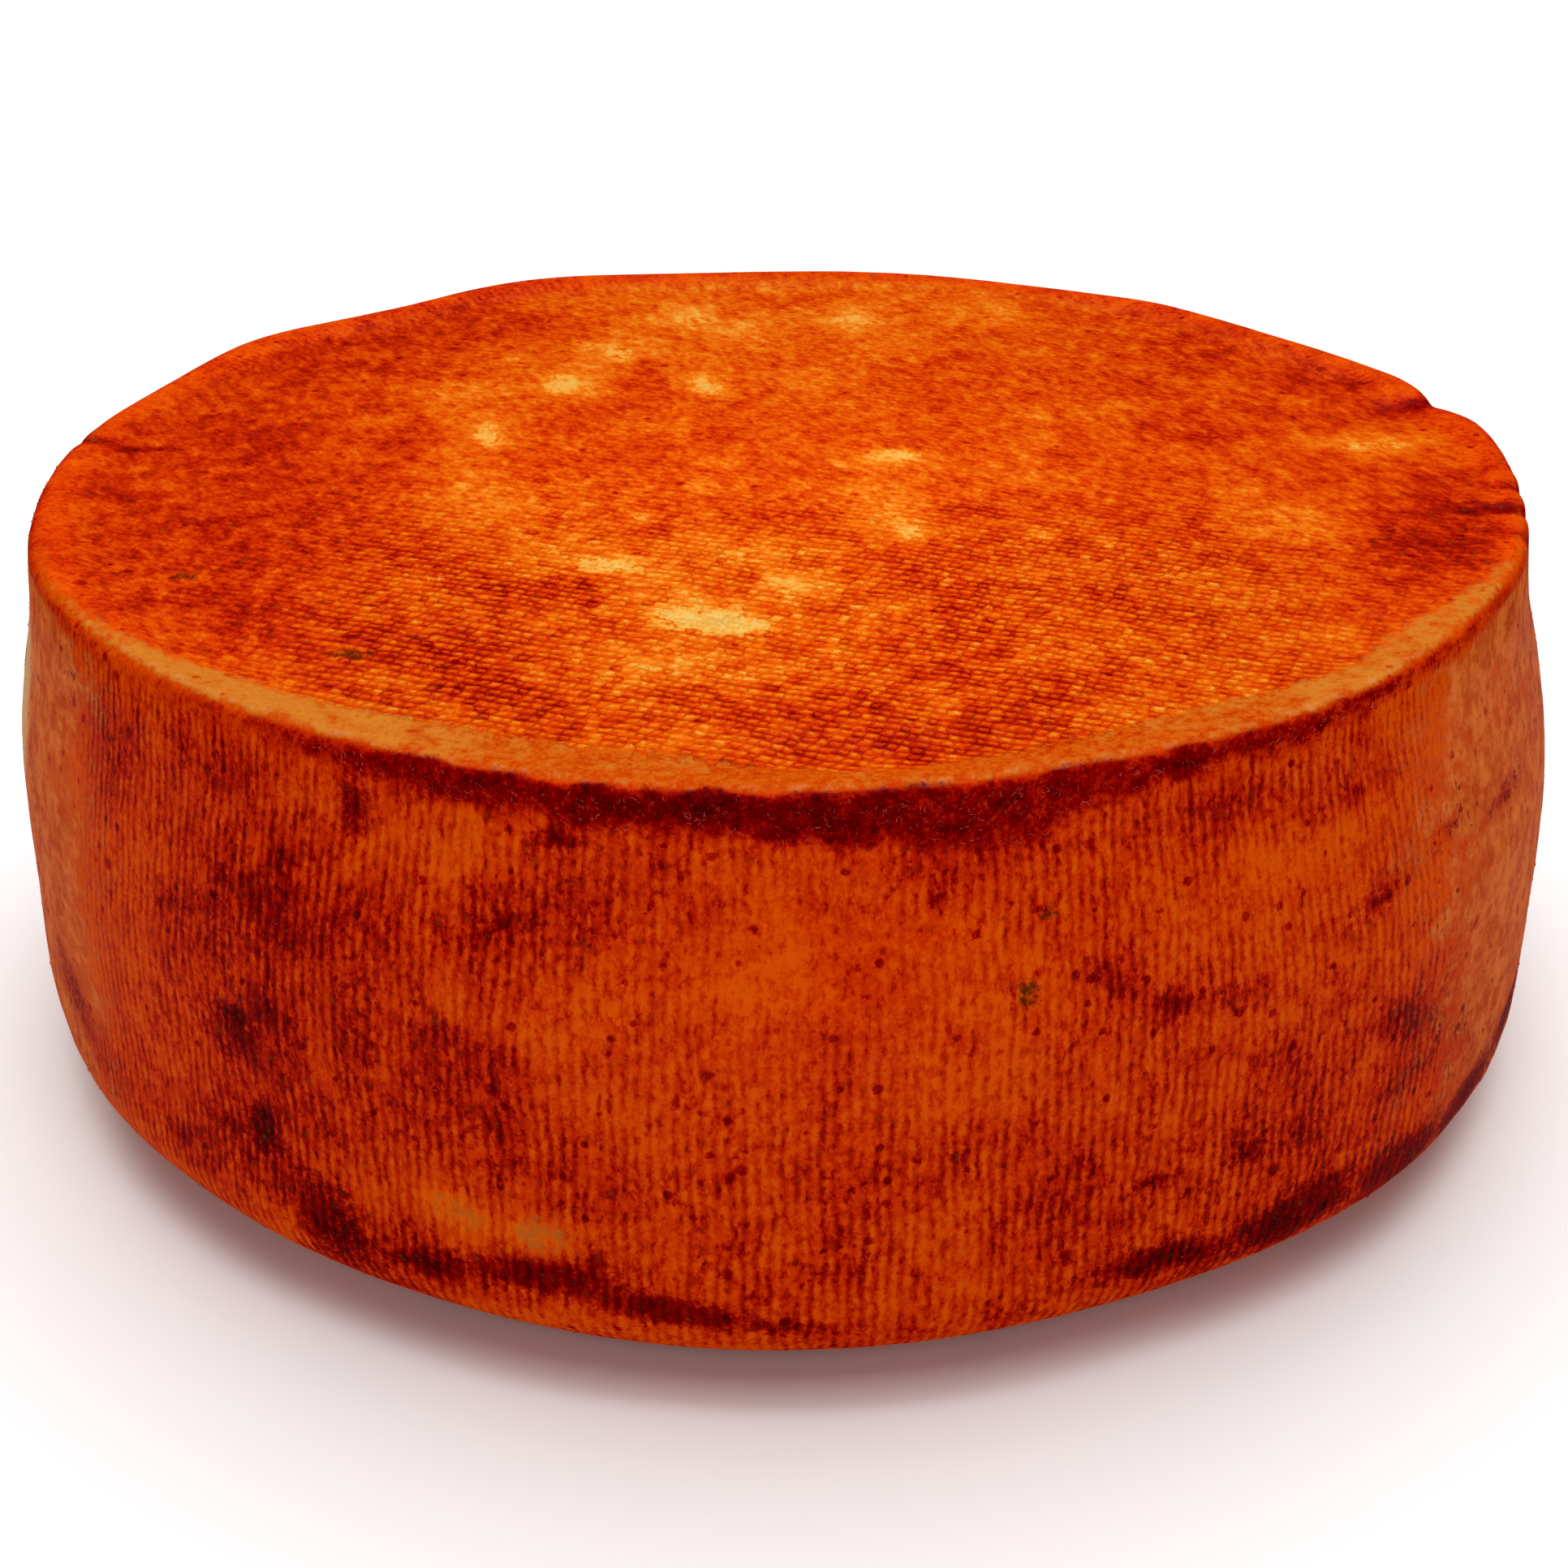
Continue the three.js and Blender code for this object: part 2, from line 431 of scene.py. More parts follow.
TOP_RED = [
    # The first two marks paint the crease on the left of the rim darker
    (-78.5, 8.6, 5.5, 1.1, 20, 1.7),
    (-71.0, 11.2, 4.0, 0.9, 12, 1.2),
    (-66.0, 4.0, 15.0, 42.0, 0, 0.8),
    (-64.0, 44.0, 16.0, 20.0, 30, 0.7),
    (-48.0, 56.0, 16.0, 12.0, 30, 0.8),
    (-36.0, 62.0, 10.0, 8.0, 10, 0.6),
    (-19.0, 37.0, 3.4, 9.0, 0, 0.7),
    (-30.0, 55.0, 8.0, 3.0, 0, 0.4),
    (23.0, 44.0, 6.0, 7.0, 0, 0.4),
    (-47.0, 8.0, 5.0, 16.0, 0, 0.5),
    (-3.0, -14.0, 3.4, 5.0, 0, 0.4),
    (47.0, 40.0, 14.0, 8.0, 20, 0.4),
    (52.0, 56.0, 14.0, 9.0, -30, 0.55),
    (70.0, 38.0, 9.0, 16.0, 25, 0.8),
    (50.0, 18.0, 9.0, 7.0, 0, 0.6),
    (26.0, 27.0, 9.0, 2.4, 6, 0.25),
    (3.0, 10.0, 12.0, 4.0, 0, 0.25),
    (22.0, -13.5, 5.0, 1.8, -20, 0.9),
    (30.0, -9.0, 6.0, 3.0, 20, 0.35),
    (6.0, -18.0, 3.4, 5.0, 0, 0.4),
    (75.5, -9.2, 8.0, 2.8, -33, 0.8),
    (72.0, -22.0, 9.5, 8.0, 10, 1.25),
    (64.0, 4.0, 10.0, 6.0, 0, 0.5),
    (65.0, -33.0, 8.0, 5.0, 20, 0.7),
    (30.0, 15.0, 4.0, 5.0, 0, 0.35),
    (70.0, 1.0, 6.0, 5.0, 0, 0.5),
    (77.0, -1.0, 7.0, 3.0, 0, 0.8),
    (42.0, -14.0, 7.0, 5.0, 0, 0.35),
    (-36.0, -50.0, 12.0, 6.0, -10, 0.4),
    (-58.0, -38.0, 12.0, 10.0, -30, 0.8),
    (-60.0, -24.0, 12.0, 12.0, 0, 0.6),
    (-24.0, -38.0, 9.0, 4.0, -15, 0.5),
    (12.0, -72.0, 14.0, 3.6, 6, 0.6),
    (-28.0, -62.0, 9.0, 4.0, -20, 0.5),
    (22.0, -47.0, 12.0, 5.0, 10, 0.4),
    (40.0, -43.0, 8.0, 4.0, 20, 0.3),
    (38.0, -31.0, 4.0, 2.4, 0, 0.4),
    (24.0, -76.0, 6.0, 2.4, 15, 0.5),
    (-4.0, -68.0, 5.0, 2.4, 0, 0.4),
    (0.0, 76.0, 20.0, 5.0, 0, 0.2),
]

# Small greenish flecks of mould in the rind of the top
TOP_FLECKS = [
    (-43.5, -52.5, 2.6, 1.1, -12, 1.0),
    (-64.5, -31.5, 1.7, 1.2, 0, 0.9),
    (29.5, -62.5, 0.9, 0.7, 0, 0.8),
]

# Marks on the side: degrees, height, half width, half height in mm, lean in degrees, strength
SIDE_STAINS = [
    (-118.3, 60.0, 1.6, 3.8, 5, 0.8),
    (-103.5, 61.4, 3.4, 1.3, 0, 0.7),
    (-107.5, 52.5, 4.0, 1.5, 8, 0.6),
    (-111.5, 51.0, 2.0, 1.4, 0, 0.4),
    (-128.0, 35.0, 4.0, 1.6, 10, 0.6),
    (-129.0, 42.0, 2.6, 5.0, 0, 0.4),
    (-126.0, 22.5, 2.2, 3.0, 0, 0.85),
    (-129.5, 21.0, 2.0, 1.6, 0, 0.6),
    (-121.0, 13.5, 5.0, 6.0, 10, 0.75),
    (-113.0, 13.5, 6.0, 2.0, 8, 0.7),
    (-105.0, 15.0, 8.0, 2.0, 4, 1.0),
    (-102.0, 16.5, 1.6, 3.0, -20, 0.8),
    (-97.0, 12.8, 10.0, 1.9, -6, 0.9),
    (-90.0, 11.5, 5.0, 1.2, -6, 0.6),
    (-65.0, 12.5, 9.0, 2.2, -3, 0.8),
    (-54.0, 12.0, 9.0, 4.0, 8, 1.0),
    (-44.0, 11.5, 9.0, 4.0, 6, 0.95),
    (-34.0, 12.5, 9.0, 3.6, 8, 0.9),
    (-24.0, 15.5, 10.0, 3.4, 10, 0.8),
    (-66.0, 22.3, 3.4, 1.2, 0, 0.7),
    (-59.0, 22.6, 2.8, 1.8, 0, 0.6),
    (-62.3, 19.8, 1.8, 0.9, 0, 0.6),
    (-59.5, 25.5, 4.0, 1.2, 0, 0.35),
    (-48.5, 46.0, 5.0, 1.4, 14, 0.6),
    (-40.0, 49.0, 6.0, 1.2, 12, 0.5),
    (-31.0, 47.0, 9.0, 1.8, 0, 0.6),
    (-152.0, 22.0, 9.0, 5.0, -20, 0.6),
    (-86.0, 22.0, 2.2, 1.4, 0, 0.3),
]
SIDE_RED = [
    (-125.0, 46.0, 18.0, 14.0, 0, 0.75),
    (-127.0, 33.0, 14.0, 9.0, 0, 0.75),
    (-112.0, 36.0, 12.0, 12.0, 0, 0.5),
    (-118.5, 35.0, 5.0, 12.0, 0, 0.8),
    (-103.5, 26.0, 3.4, 8.0, -8, 0.7),
    (-130.0, 60.0, 12.0, 4.0, 0, 0.7),
    (-36.0, 22.0, 9.0, 6.0, 0, 0.6),
    (-140.0, 57.0, 10.0, 6.0, 0, 0.8),
    (-126.0, 20.0, 12.0, 8.0, 0, 0.8),
    (-147.0, 17.0, 9.0, 5.0, 0, 0.7),
    (-135.0, 15.0, 10.0, 4.0, 0, 0.7),
    (-105.0, 54.0, 14.0, 5.0, 5, 0.7),
    (-116.0, 58.0, 9.0, 5.0, 0, 0.5),
    (-69.5, 46.0, 3.0, 1.6, -40, 0.8),
    (-65.0, 42.2, 4.0, 1.3, -10, 0.9),
    (-60.0, 41.5, 4.0, 1.3, 0, 0.7),
    (-62.0, 35.0, 10.0, 3.0, 0, 0.5),
    (-52.0, 38.0, 7.0, 6.0, 20, 0.4),
    (-45.0, 30.5, 8.0, 4.0, -20, 0.8),
    (-45.0, 24.0, 9.0, 4.0, 0, 0.6),
    (-56.0, 31.0, 7.0, 4.0, 0, 0.5),
    (-61.0, 59.5, 9.0, 3.0, 0, 0.6),
    (-48.0, 57.5, 6.0, 2.0, 0, 0.6),
    (-58.0, 23.0, 16.0, 5.0, 0, 0.6),
    (-80.0, 59.5, 10.0, 3.0, 0, 0.6),
    (-72.0, 24.0, 10.0, 8.0, 0, 0.4),
    (-88.0, 44.0, 6.0, 5.0, 0, 0.4),
    (-85.0, 29.0, 8.0, 5.0, 0, 0.45),
    (-88.0, 18.0, 10.0, 5.0, 0, 0.5),
    (-30.0, 13.0, 14.0, 5.0, 8, 0.8),
    (-62.0, 12.0, 14.0, 4.0, 0, 0.7),
    (-100.0, 26.0, 10.0, 5.0, 0, 0.4),
    (-85.0, 10.0, 12.0, 3.0, 0, 0.5),
    (-117.0, 13.0, 12.0, 5.0, 0, 0.6),
    (-152.0, 62.0, 8.0, 3.0, 0, 0.5),
]
SIDE_AMBER_AND_SHEEN = [
    # The first two marks, at the ends of the side where it turns away from the camera, are partly
    # the rind's amber and partly a painted sheen
    (-156.0, 36.0, 14.0, 26.0, 0, 0.7),
    (-26.0, 36.0, 16.0, 22.0, 0, 0.7),
    (-138.0, 38.0, 10.0, 22.0, 0, 0.3),
    (-90.0, 52.0, 10.0, 6.0, 0, 0.4),
    (-77.0, 42.0, 8.0, 9.0, 0, 0.5),
    (-104.0, 42.0, 6.0, 8.0, 0, 0.6),
    (-64.5, 46.5, 4.0, 2.6, 0, 0.5),
    (-57.0, 53.0, 12.0, 3.0, 0, 0.4),
    (-40.0, 45.0, 8.0, 6.0, 0, 0.5),
    (-31.0, 41.0, 8.0, 6.0, 0, 0.6),
    (-34.0, 58.0, 12.0, 5.0, 0, 0.6),
    (-108.0, 9.0, 10.0, 2.4, 0, 1.0),
    (-78.0, 12.0, 8.0, 3.0, 0, 0.2),
    (-147.0, 47.0, 8.0, 12.0, 0, 0.6),
    (-147.0, 27.0, 8.0, 8.0, 0, 0.6),
    (-108.0, 21.0, 10.0, 4.0, 0, 0.6),
]
SIDE_CREAM_AND_SHEEN = [
    # The first mark, at the left end of the side, is partly cream and partly a painted highlight
    (-164.0, 50.0, 6.0, 13.0, 0, 0.9),
    (-111.0, 20.4, 5.0, 2.4, 0, 0.7),
    (-105.0, 20.0, 4.0, 2.6, 0, 0.8),
    (-118.0, 21.5, 3.0, 1.4, 0, 0.5),
    (-113.5, 23.5, 3.0, 1.4, 20, 0.3),
]
SIDE_TAN_AND_SHEEN = [
    # Both marks lie at the ends of the side where it turns away from the camera: partly the rind's
    # own tan and partly a painted sheen
    (-164.0, 38.0, 24.0, 60.0, 0, 2.0),
    (-20.0, 40.0, 28.0, 60.0, 0, 2.0),
]
SIDE_FLECKS = [
    (-75.3, 46.3, 1.3, 1.6, 0, 1.0),
    (-73.5, 53.5, 1.4, 1.0, 0, 0.8),
    (-101.8, 51.5, 0.8, 3.2, 0, 0.55),
    (-104.0, 39.0, 0.8, 1.2, 0, 0.3),
]

# The lip: degrees, width in mm, how plainly it shows, and how tan its wax is
LIP = [
    (-172, 2.5, 0.1, 0.3),
    (-162, 3.2, 0.5, 0.3),
    (-154, 3.6, 0.8, 0.4),
    (-146, 4.2, 0.9, 0.5),
    (-138, 5.6, 1.0, 0.9),
    (-130, 7.2, 1.0, 0.8),
    (-122, 9.0, 1.0, 0.75),
    (-114, 10.0, 1.0, 0.5),
    (-106, 10.4, 0.95, 0.25),
    (-98, 10.2, 0.9, 0.2),
    (-90, 7.6, 0.95, 0.2),
    (-82, 6.6, 0.9, 0.1),
    (-74, 7.2, 0.9, 0.15),
    (-66, 8.8, 0.95, 0.35),
    (-58, 9.0, 1.0, 0.45),
    (-50, 7.2, 1.0, 0.8),
    (-42, 6.8, 1.0, 0.65),
    (-34, 7.0, 0.8, 0.7),
    (-26, 5.0, 0.7, 0.6),
    (-18, 3.4, 0.55, 0.5),
    (-8, 3.2, 0.4, 0.4),
    (2, 3.0, 0.3, 0.4),
]

# The dark crumbly band under the rim: degrees, how far down it reaches in mm, strength
BAND = [
    (-140, 1.6, 0.0),
    (-127, 1.8, 0.3),
    (-120, 2.8, 0.6),
    (-115, 3.3, 0.8),
    (-108, 3.5, 0.85),
    (-100, 4.2, 0.95),
    (-90, 4.4, 1.0),
    (-85, 5.0, 0.85),
    (-80, 6.4, 0.75),
    (-75, 6.8, 0.72),
    (-70, 4.0, 0.75),
    (-65, 3.2, 0.95),
    (-60, 2.2, 0.65),
    (-54, 2.8, 0.75),
    (-48, 1.9, 0.6),
    (-40, 1.6, 0.35),
    (-28, 1.4, 0.3),
    (-18, 1.2, 0.0),
]

# Where the side is worn smooth and the cloth doesn't show
SIDE_WORN = [
    (-88.0, 50.0, 15.0, 11.0, 0, 0.8),
    (-57.0, 53.0, 12.0, 4.0, 0, 0.6),
]

# Round the back, chance lays the marks, and it sets the rim's band and lip at these angles
BACK = (0.0, 180.0)
BACK_RIM = range(10, 180, 9)
BACK_LEAN = (-12.0, 12.0)

# Where the top face and the underside end, and over what length they turn into the side
TOP_ENDS, TOP_TURNS = RIM_RADIUS - 2.0, 4.0
UNDERSIDE_ENDS, UNDERSIDE_TURNS = BELLY_RADIUS - 8.0, 6.0

# The band under the rim: where it starts, in from the edge, how far its edges stray, and over what
# length they fade
BAND_STARTS = 1.7
BAND_STRAYS = 1.3
BAND_TOP_FADES = 2.8
BAND_FOOT_FADES = 3.4

# The lip: how far it runs over the edge beside the band, and how much more where there is no band
LIP_RUNS_OVER = 0.4
LIP_RUNS_ON = 0.4
LIP_STRAYS = 0.7          # its inner edge, which also fades
LIP_INNER_FADES = 3.2
LIP_OUTER_FADES = 1.8
TAN_FADES = 2.0           # its tan wax thins out towards the edge

# Painted shade: the top is painted darker all round an oval at its front, where the light falls off:
# its middle's y and its half axes
LIT_OVAL_Y = -30.0
LIT_OVAL_AXES = (55.0, 60.0)

# The print on the top fades behind a y and beside an x, each over a length and down by a share
PRINT_BACK_Y, PRINT_BACK_FADES, PRINT_BACK_LOST = -34.0, 40.0, 0.75
PRINT_MIDDLE_X, PRINT_HALF_WIDTH, PRINT_ASIDE_FADES, PRINT_ASIDE_LOST = 4.0, 40.0, 26.0, 0.7
PRINT_BENEATH = 0.6

# The pigment's middle, what a full red mark adds and a full amber one takes: on the side, on a face
PIGMENT_MIDDLE = (0.55, 0.50)
RED_ADDS = (0.24, 0.23)
AMBER_TAKES = (0.14, 0.34)


def top_marks(places, marks):
    """How strongly the marks cover each point, where the points are seen from straight above."""
    cover = np.zeros_like(places.radius)
    for x, y, length, width, turn, strength in marks:
        c = math.cos(math.radians(turn))
        s = math.sin(math.radians(turn))
        along = ((places.x - x) * c + (places.y - y) * s) / length
        across = ((places.y - y) * c - (places.x - x) * s) / width
        cover = np.maximum(cover, strength * np.exp(-(along ** 2 + across ** 2)))
    return cover


def side_marks(places, marks):
    """The same on the side, where a mark lies at an angle and a height."""
    cover = np.zeros_like(places.radius)
    for degrees, height, width, tall, lean, strength in marks:
        c = math.cos(math.radians(lean))
        s = math.sin(math.radians(lean))
        sideways = np.radians(places.turned(degrees)) * BELLY_RADIUS
        upwards = places.z - height
        along = (sideways * c + upwards * s) / width
        across = (upwards * c - sideways * s) / tall
        cover = np.maximum(cover, strength * np.exp(-(along ** 2 + across ** 2)))
    return cover


def chance_marks(draw, count, heights, widths, talls, strengths):
    """Side marks at random, each between the ranges given, for the far half of the wheel."""
    return [
        (
            draw.uniform(*BACK), draw.uniform(*heights), draw.uniform(*widths),
            draw.uniform(*talls), draw.uniform(*BACK_LEAN), draw.uniform(*strengths),
        )
        for _ in range(count)
    ]


def store(mesh, name, values):
    """Keeps one value from 0 to 1 for each point, which the material reads by its name."""
    layer = mesh.attributes.new(name, "FLOAT", "POINT")
    layer.data.foreach_set("value", np.clip(values, 0.0, 1.0).astype(np.float32))


def from_rim(places):
    """How far each point lies from the rim's edge along the rind: in over the top, or down (< 0)."""
    edge = RIM_RADIUS + swell(places, RIM_SWELLS, OUT)
    level = HEIGHT + swell(places, RIM_SWELLS, UP)
    return (edge - places.radius) - (level - places.z)


def around(places, knots, column):
    """A value that runs smoothly round the wheel through the knots of a list."""
    return np.interp(
        places.degrees, [knot[0] for knot in knots], [knot[column] for knot in knots], period=360.0
    )


def zones_of(places):
    """How far each point belongs to the top, the underside and the side."""
    upper_part = places.z > HEIGHT / 2
    top = ease((TOP_ENDS - places.radius) / TOP_TURNS) * upper_part
    beneath = ease((UNDERSIDE_ENDS - places.radius) / UNDERSIDE_TURNS) * ~upper_part
    flat = np.maximum(top, beneath)
    return SimpleNamespace(top=top, beneath=beneath, flat=flat, side=1.0 - flat)


def paint_rim(mesh, places, draw):
    """The dark band under the rim, and the pale lip inside it."""
    bands = BAND + [(at, draw.uniform(1.6, 5.0), draw.uniform(0.2, 0.95)) for at in BACK_RIM]
    lips = LIP + [
        (at, draw.uniform(2.5, 6.0), draw.uniform(0.0, 0.25), draw.uniform(0.1, 0.6))
        for at in BACK_RIM
    ]
    depth, strength = (around(places, bands, column) for column in (1, 2))
    width, shown, tan = (around(places, lips, column) for column in (1, 2, 3))
    upper_part = places.z > HEIGHT / 2
    inwards = from_rim(places)
    ragged = inwards + BAND_STRAYS * places.rough(3.5, 4, 21)
    heaped = strength * (1.0 + 0.35 * places.rough(6.0, 3, 22))
    band = heaped * ease((BAND_STARTS - ragged) / BAND_TOP_FADES)
    band = band * ease((ragged + depth) / BAND_FOOT_FADES + 0.5)
    store(mesh, "band", band * upper_part)

    outer = -LIP_RUNS_OVER - LIP_RUNS_ON * (1.0 - strength)
    inner = width - 0.1 - LIP_STRAYS * places.rough(9.0, 3, 11)
    lip = ease((inwards - outer) / LIP_OUTER_FADES) * ease((inner - inwards) / LIP_INNER_FADES)
    store(mesh, "lip", lip * shown * upper_part)
    tan = (tan + 0.3 * places.rough(7.0, 3, 12)) * ease((inwards + LIP_RUNS_OVER) / TAN_FADES)
    store(mesh, "tan", tan)


def all_side_marks(draw):
    """The lists of side marks, each with its chance marks round the back."""
    stains = SIDE_STAINS + chance_marks(draw, 26, (8.0, 62.0), (1.5, 7.0), (1.0, 2.6), (0.3, 0.9))
    stains += chance_marks(draw, 14, (11.0, 16.0), (6.0, 12.0), (1.4, 2.4), (0.5, 0.9))
    reds = SIDE_RED + chance_marks(draw, 30, (15.0, 60.0), (4.0, 16.0), (2.0, 8.0), (0.3, 0.9))
    ambers_and_sheen = SIDE_AMBER_AND_SHEEN + chance_marks(draw, 20, (12.0, 60.0), (6.0, 14.0), (3.0, 9.0), (0.3, 0.8))
    tans_and_sheen = SIDE_TAN_AND_SHEEN + chance_marks(draw, 5, (20.0, 50.0), (14.0, 24.0), (16.0, 26.0), (0.3, 0.8))
    return SimpleNamespace(stains=stains, reds=reds, ambers_and_sheen=ambers_and_sheen, tans_and_sheen=tans_and_sheen)


def paint_pigment(mesh, places, zones, marks):
    """How much pigment the rind took, in large: uneven, and led by the red and amber marks."""
    red = zones.top * top_marks(places, TOP_RED) + zones.side * side_marks(places, marks.reds)
    amber = zones.top * top_marks(places, TOP_AMBER) + zones.side * side_marks(places, marks.ambers_and_sheen)
    pigment = between(zones.flat, *PIGMENT_MIDDLE)
    pigment = pigment + 0.06 * places.rough(26.0, 3, 5) + 0.06 * places.rough(8.0, 4, 6)
    pigment += between(zones.flat, *RED_ADDS) * red - between(zones.flat, *AMBER_TAKES) * amber
    pigment -= 0.05 * zones.top * ease((places.y - 20.0) / 50.0)
    # The folds are painted darker near the rim
    in_folds = np.minimum(1.3 * fold_cover(places), 0.3)
    pigment += in_folds * (places.z > HEIGHT - 3.0)
    store(mesh, "pigment", pigment)


def paint_marks(mesh, places, zones, marks):
    """The cream patches, the stains, the flecks of mould, and the painted shade over the top."""
    cream = zones.top * top_marks(places, TOP_CREAM) + zones.side * side_marks(places, SIDE_CREAM_AND_SHEEN)
    flecks = zones.top * top_marks(places, TOP_FLECKS) + zones.side * side_marks(places, SIDE_FLECKS)
    half_width, half_length = LIT_OVAL_AXES
    from_middle = (places.x / half_width) ** 2 + ((places.y - LIT_OVAL_Y) / half_length) ** 2
    lit_oval = np.exp(-from_middle)
    store(mesh, "cream", cream)
    store(mesh, "stain", zones.side * side_marks(places, marks.stains))
    store(mesh, "fleck", flecks)
    store(mesh, "dull", zones.top * (1.0 - lit_oval))


def paint_print(mesh, places, zones, wash):
    """How well the cloth printed: best at the front of the top, least where the side is worn."""
    faded = 1.0 - PRINT_BACK_LOST * ease((places.y - PRINT_BACK_Y) / PRINT_BACK_FADES)
    aside = np.abs(places.x - PRINT_MIDDLE_X) - PRINT_HALF_WIDTH
    faded *= 1.0 - PRINT_ASIDE_LOST * ease(aside / PRINT_ASIDE_FADES)
    # The print also fades under the tan and the painted sheen
    worn = np.maximum(side_marks(places, SIDE_WORN), ease((wash - 0.3) / 0.3))
    printed = zones.top * faded + zones.side * (1.0 - worn) + PRINT_BENEATH * zones.beneath
    inwards = from_rim(places)
    off_rim = np.maximum(ease((inwards - 2.0) / 4.0), ease((-inwards - 0.6) / 2.6))
    store(mesh, "print", printed * np.where(places.z > HEIGHT / 2, off_rim, 1.0))


def paint(wheel):
    """Writes the point attributes that the rind's material reads."""
    draw = random.Random(SEED)
    mesh = wheel.data
    places = Places(mesh)
    zones = zones_of(places)
    store(mesh, "face", zones.flat)
    paint_rim(mesh, places, draw)
    marks = all_side_marks(draw)
    # The tan at the two ends of the side is partly the rind's own colour and partly a painted sheen
    wash = zones.side * side_marks(places, marks.tans_and_sheen) * ease((-from_rim(places) - 0.5) / 3.0)
    store(mesh, "wash", wash)
    paint_pigment(mesh, places, zones, marks)
    paint_marks(mesh, places, zones, marks)
    paint_print(mesh, places, zones, wash)


# ---------------------------------------------------------------- making a material

def tone(red, green, blue):
    """A colour as the eye reads it, from 0 to 255, for a shader's socket."""
    parts = [c / 255.0 for c in (red, green, blue)]
    linear = [c / 12.92 if c <= 0.04045 else ((c + 0.055) / 1.055) ** 2.4 for c in parts]
    return (*linear, 1.0)


class Finish:
    """One material, with small helpers that add nodes to it."""

    def __init__(self, name):
        self.material = bpy.data.materials.new(name)
        self.material.use_nodes = True
        self.tree = self.material.node_tree
        self.tree.nodes.clear()

    def add(self, kind, **settings):
        made = self.tree.nodes.new(kind)
        for key, value in settings.items():
            setattr(made, key, value)
        return made

    def feed(self, socket, value):
        if isinstance(value, bpy.types.NodeSocket):
            self.tree.links.new(value, socket)
        else:
            socket.default_value = value

    def math(self, operation, *values, clamp=False):
        made = self.add("ShaderNodeMath", operation=operation, use_clamp=clamp)
        for socket, value in zip(made.inputs, values):
            self.feed(socket, value)
        return made.outputs[0]

    def plus(self, first, second):
        return self.math("ADD", first, second)

    def minus(self, first, second):
        return self.math("SUBTRACT", first, second)

    def times(self, first, second):
        return self.math("MULTIPLY", first, second)

    def most(self, first, second):
        return self.math("MAXIMUM", first, second)

    def weighted(self, *pairs):
        """The sum of pairs of a value and its weight."""
        return functools.reduce(self.plus, [self.times(value, weight) for value, weight in pairs])

    def step(self, value, low, high, to_low=0.0, to_high=1.0):
        """Runs smoothly from to_low to to_high while the value goes from low to high."""
        made = self.add("ShaderNodeMapRange", interpolation_type="SMOOTHSTEP")
        for key, given in (("Value", value), ("From Min", low), ("From Max", high),
                           ("To Min", to_low), ("To Max", to_high)):
            self.feed(made.inputs[key], given)
        return made.outputs["Result"]

    def vector(self, x, y, z=0.0):
        made = self.add("ShaderNodeCombineXYZ")
        for socket, value in zip(made.inputs, (x, y, z)):
            self.feed(socket, value)
        return made.outputs[0]

    def split(self, vector):
        """The three parts of a vector."""
        made = self.add("ShaderNodeSeparateXYZ")
        self.feed(made.inputs[0], vector)
        return made.outputs

    def mapped(self, where, scale, turn=0.0, kind="POINT"):
        """A place that is scaled by the three factors of scale and turned about the axis."""
        made = self.add("ShaderNodeMapping", vector_type=kind)
        made.inputs["Rotation"].default_value = (0.0, 0.0, turn)
        made.inputs["Scale"].default_value = scale
        self.feed(made.inputs["Vector"], where)
        return made.outputs[0]

    def noise(self, where, scale, detail=2.0, roughness=0.5):
        """Soft chance from 0 to 1 with its middle at 0.5; scale is in patches a millimetre."""
        made = self.add("ShaderNodeTexNoise")
        self.feed(made.inputs["Vector"], where)
        self.feed(made.inputs["Scale"], scale)
        self.feed(made.inputs["Detail"], detail)
        self.feed(made.inputs["Roughness"], roughness)
        return made.outputs["Fac"]

    def uneven(self, where, scale, detail=2.0, roughness=0.5):
        """The same soft chance with its middle at 0."""
        return self.minus(self.noise(where, scale, detail, roughness), 0.5)

    def chance(self, where):
        """One value from 0 to 1 for each whole-numbered cell."""
        made = self.add("ShaderNodeTexWhiteNoise", noise_dimensions="2D")
        self.feed(made.inputs["Vector"], where)
        return made.outputs["Value"]

    def pick(self, share, first, second):
        """A number that lies a share of the way from the first to the second."""
        made = self.add("ShaderNodeMix", data_type="FLOAT", clamp_factor=True)
        self.feed(made.inputs["Factor"], share)
        self.feed(made.inputs[2], first)
        self.feed(made.inputs[3], second)
        return made.outputs[0]

    def blend(self, share, first, second):
        """A colour that lies a share of the way from the first to the second."""
        made = self.add("ShaderNodeMix", data_type="RGBA", clamp_factor=True)
        self.feed(made.inputs["Factor"], share)
        self.feed(made.inputs[6], first)
        self.feed(made.inputs[7], second)
        return made.outputs[2]

    def ramp(self, value, steps):
        """A colour that runs through pairs of a place and a colour."""
        made = self.add("ShaderNodeValToRGB")
        band = made.color_ramp
        while len(band.elements) < len(steps):
            band.elements.new(0.5)
        for element, (place, colour) in zip(band.elements, steps):
            element.position = place
            element.color = colour
        self.feed(made.inputs["Fac"], value)
        return made.outputs["Color"]

    def painted(self, name):
        """A value that was stored on the mesh's points."""
        return self.add("ShaderNodeAttribute", attribute_name=name).outputs["Fac"]

    def finished_with(self, shader):
        """The material, with this shader as its surface."""
        out = self.add("ShaderNodeOutputMaterial")
        self.tree.links.new(shader.outputs[0], out.inputs["Surface"])
        return self.material


# ---------------------------------------------------------------- the rind's patterns

RUBBED_ALONG = math.radians(-62.0)  # the way the colouring was rubbed over the top
SPECK_SHAKE = 0.9                   # how far the specks' outlines are shaken, in mm


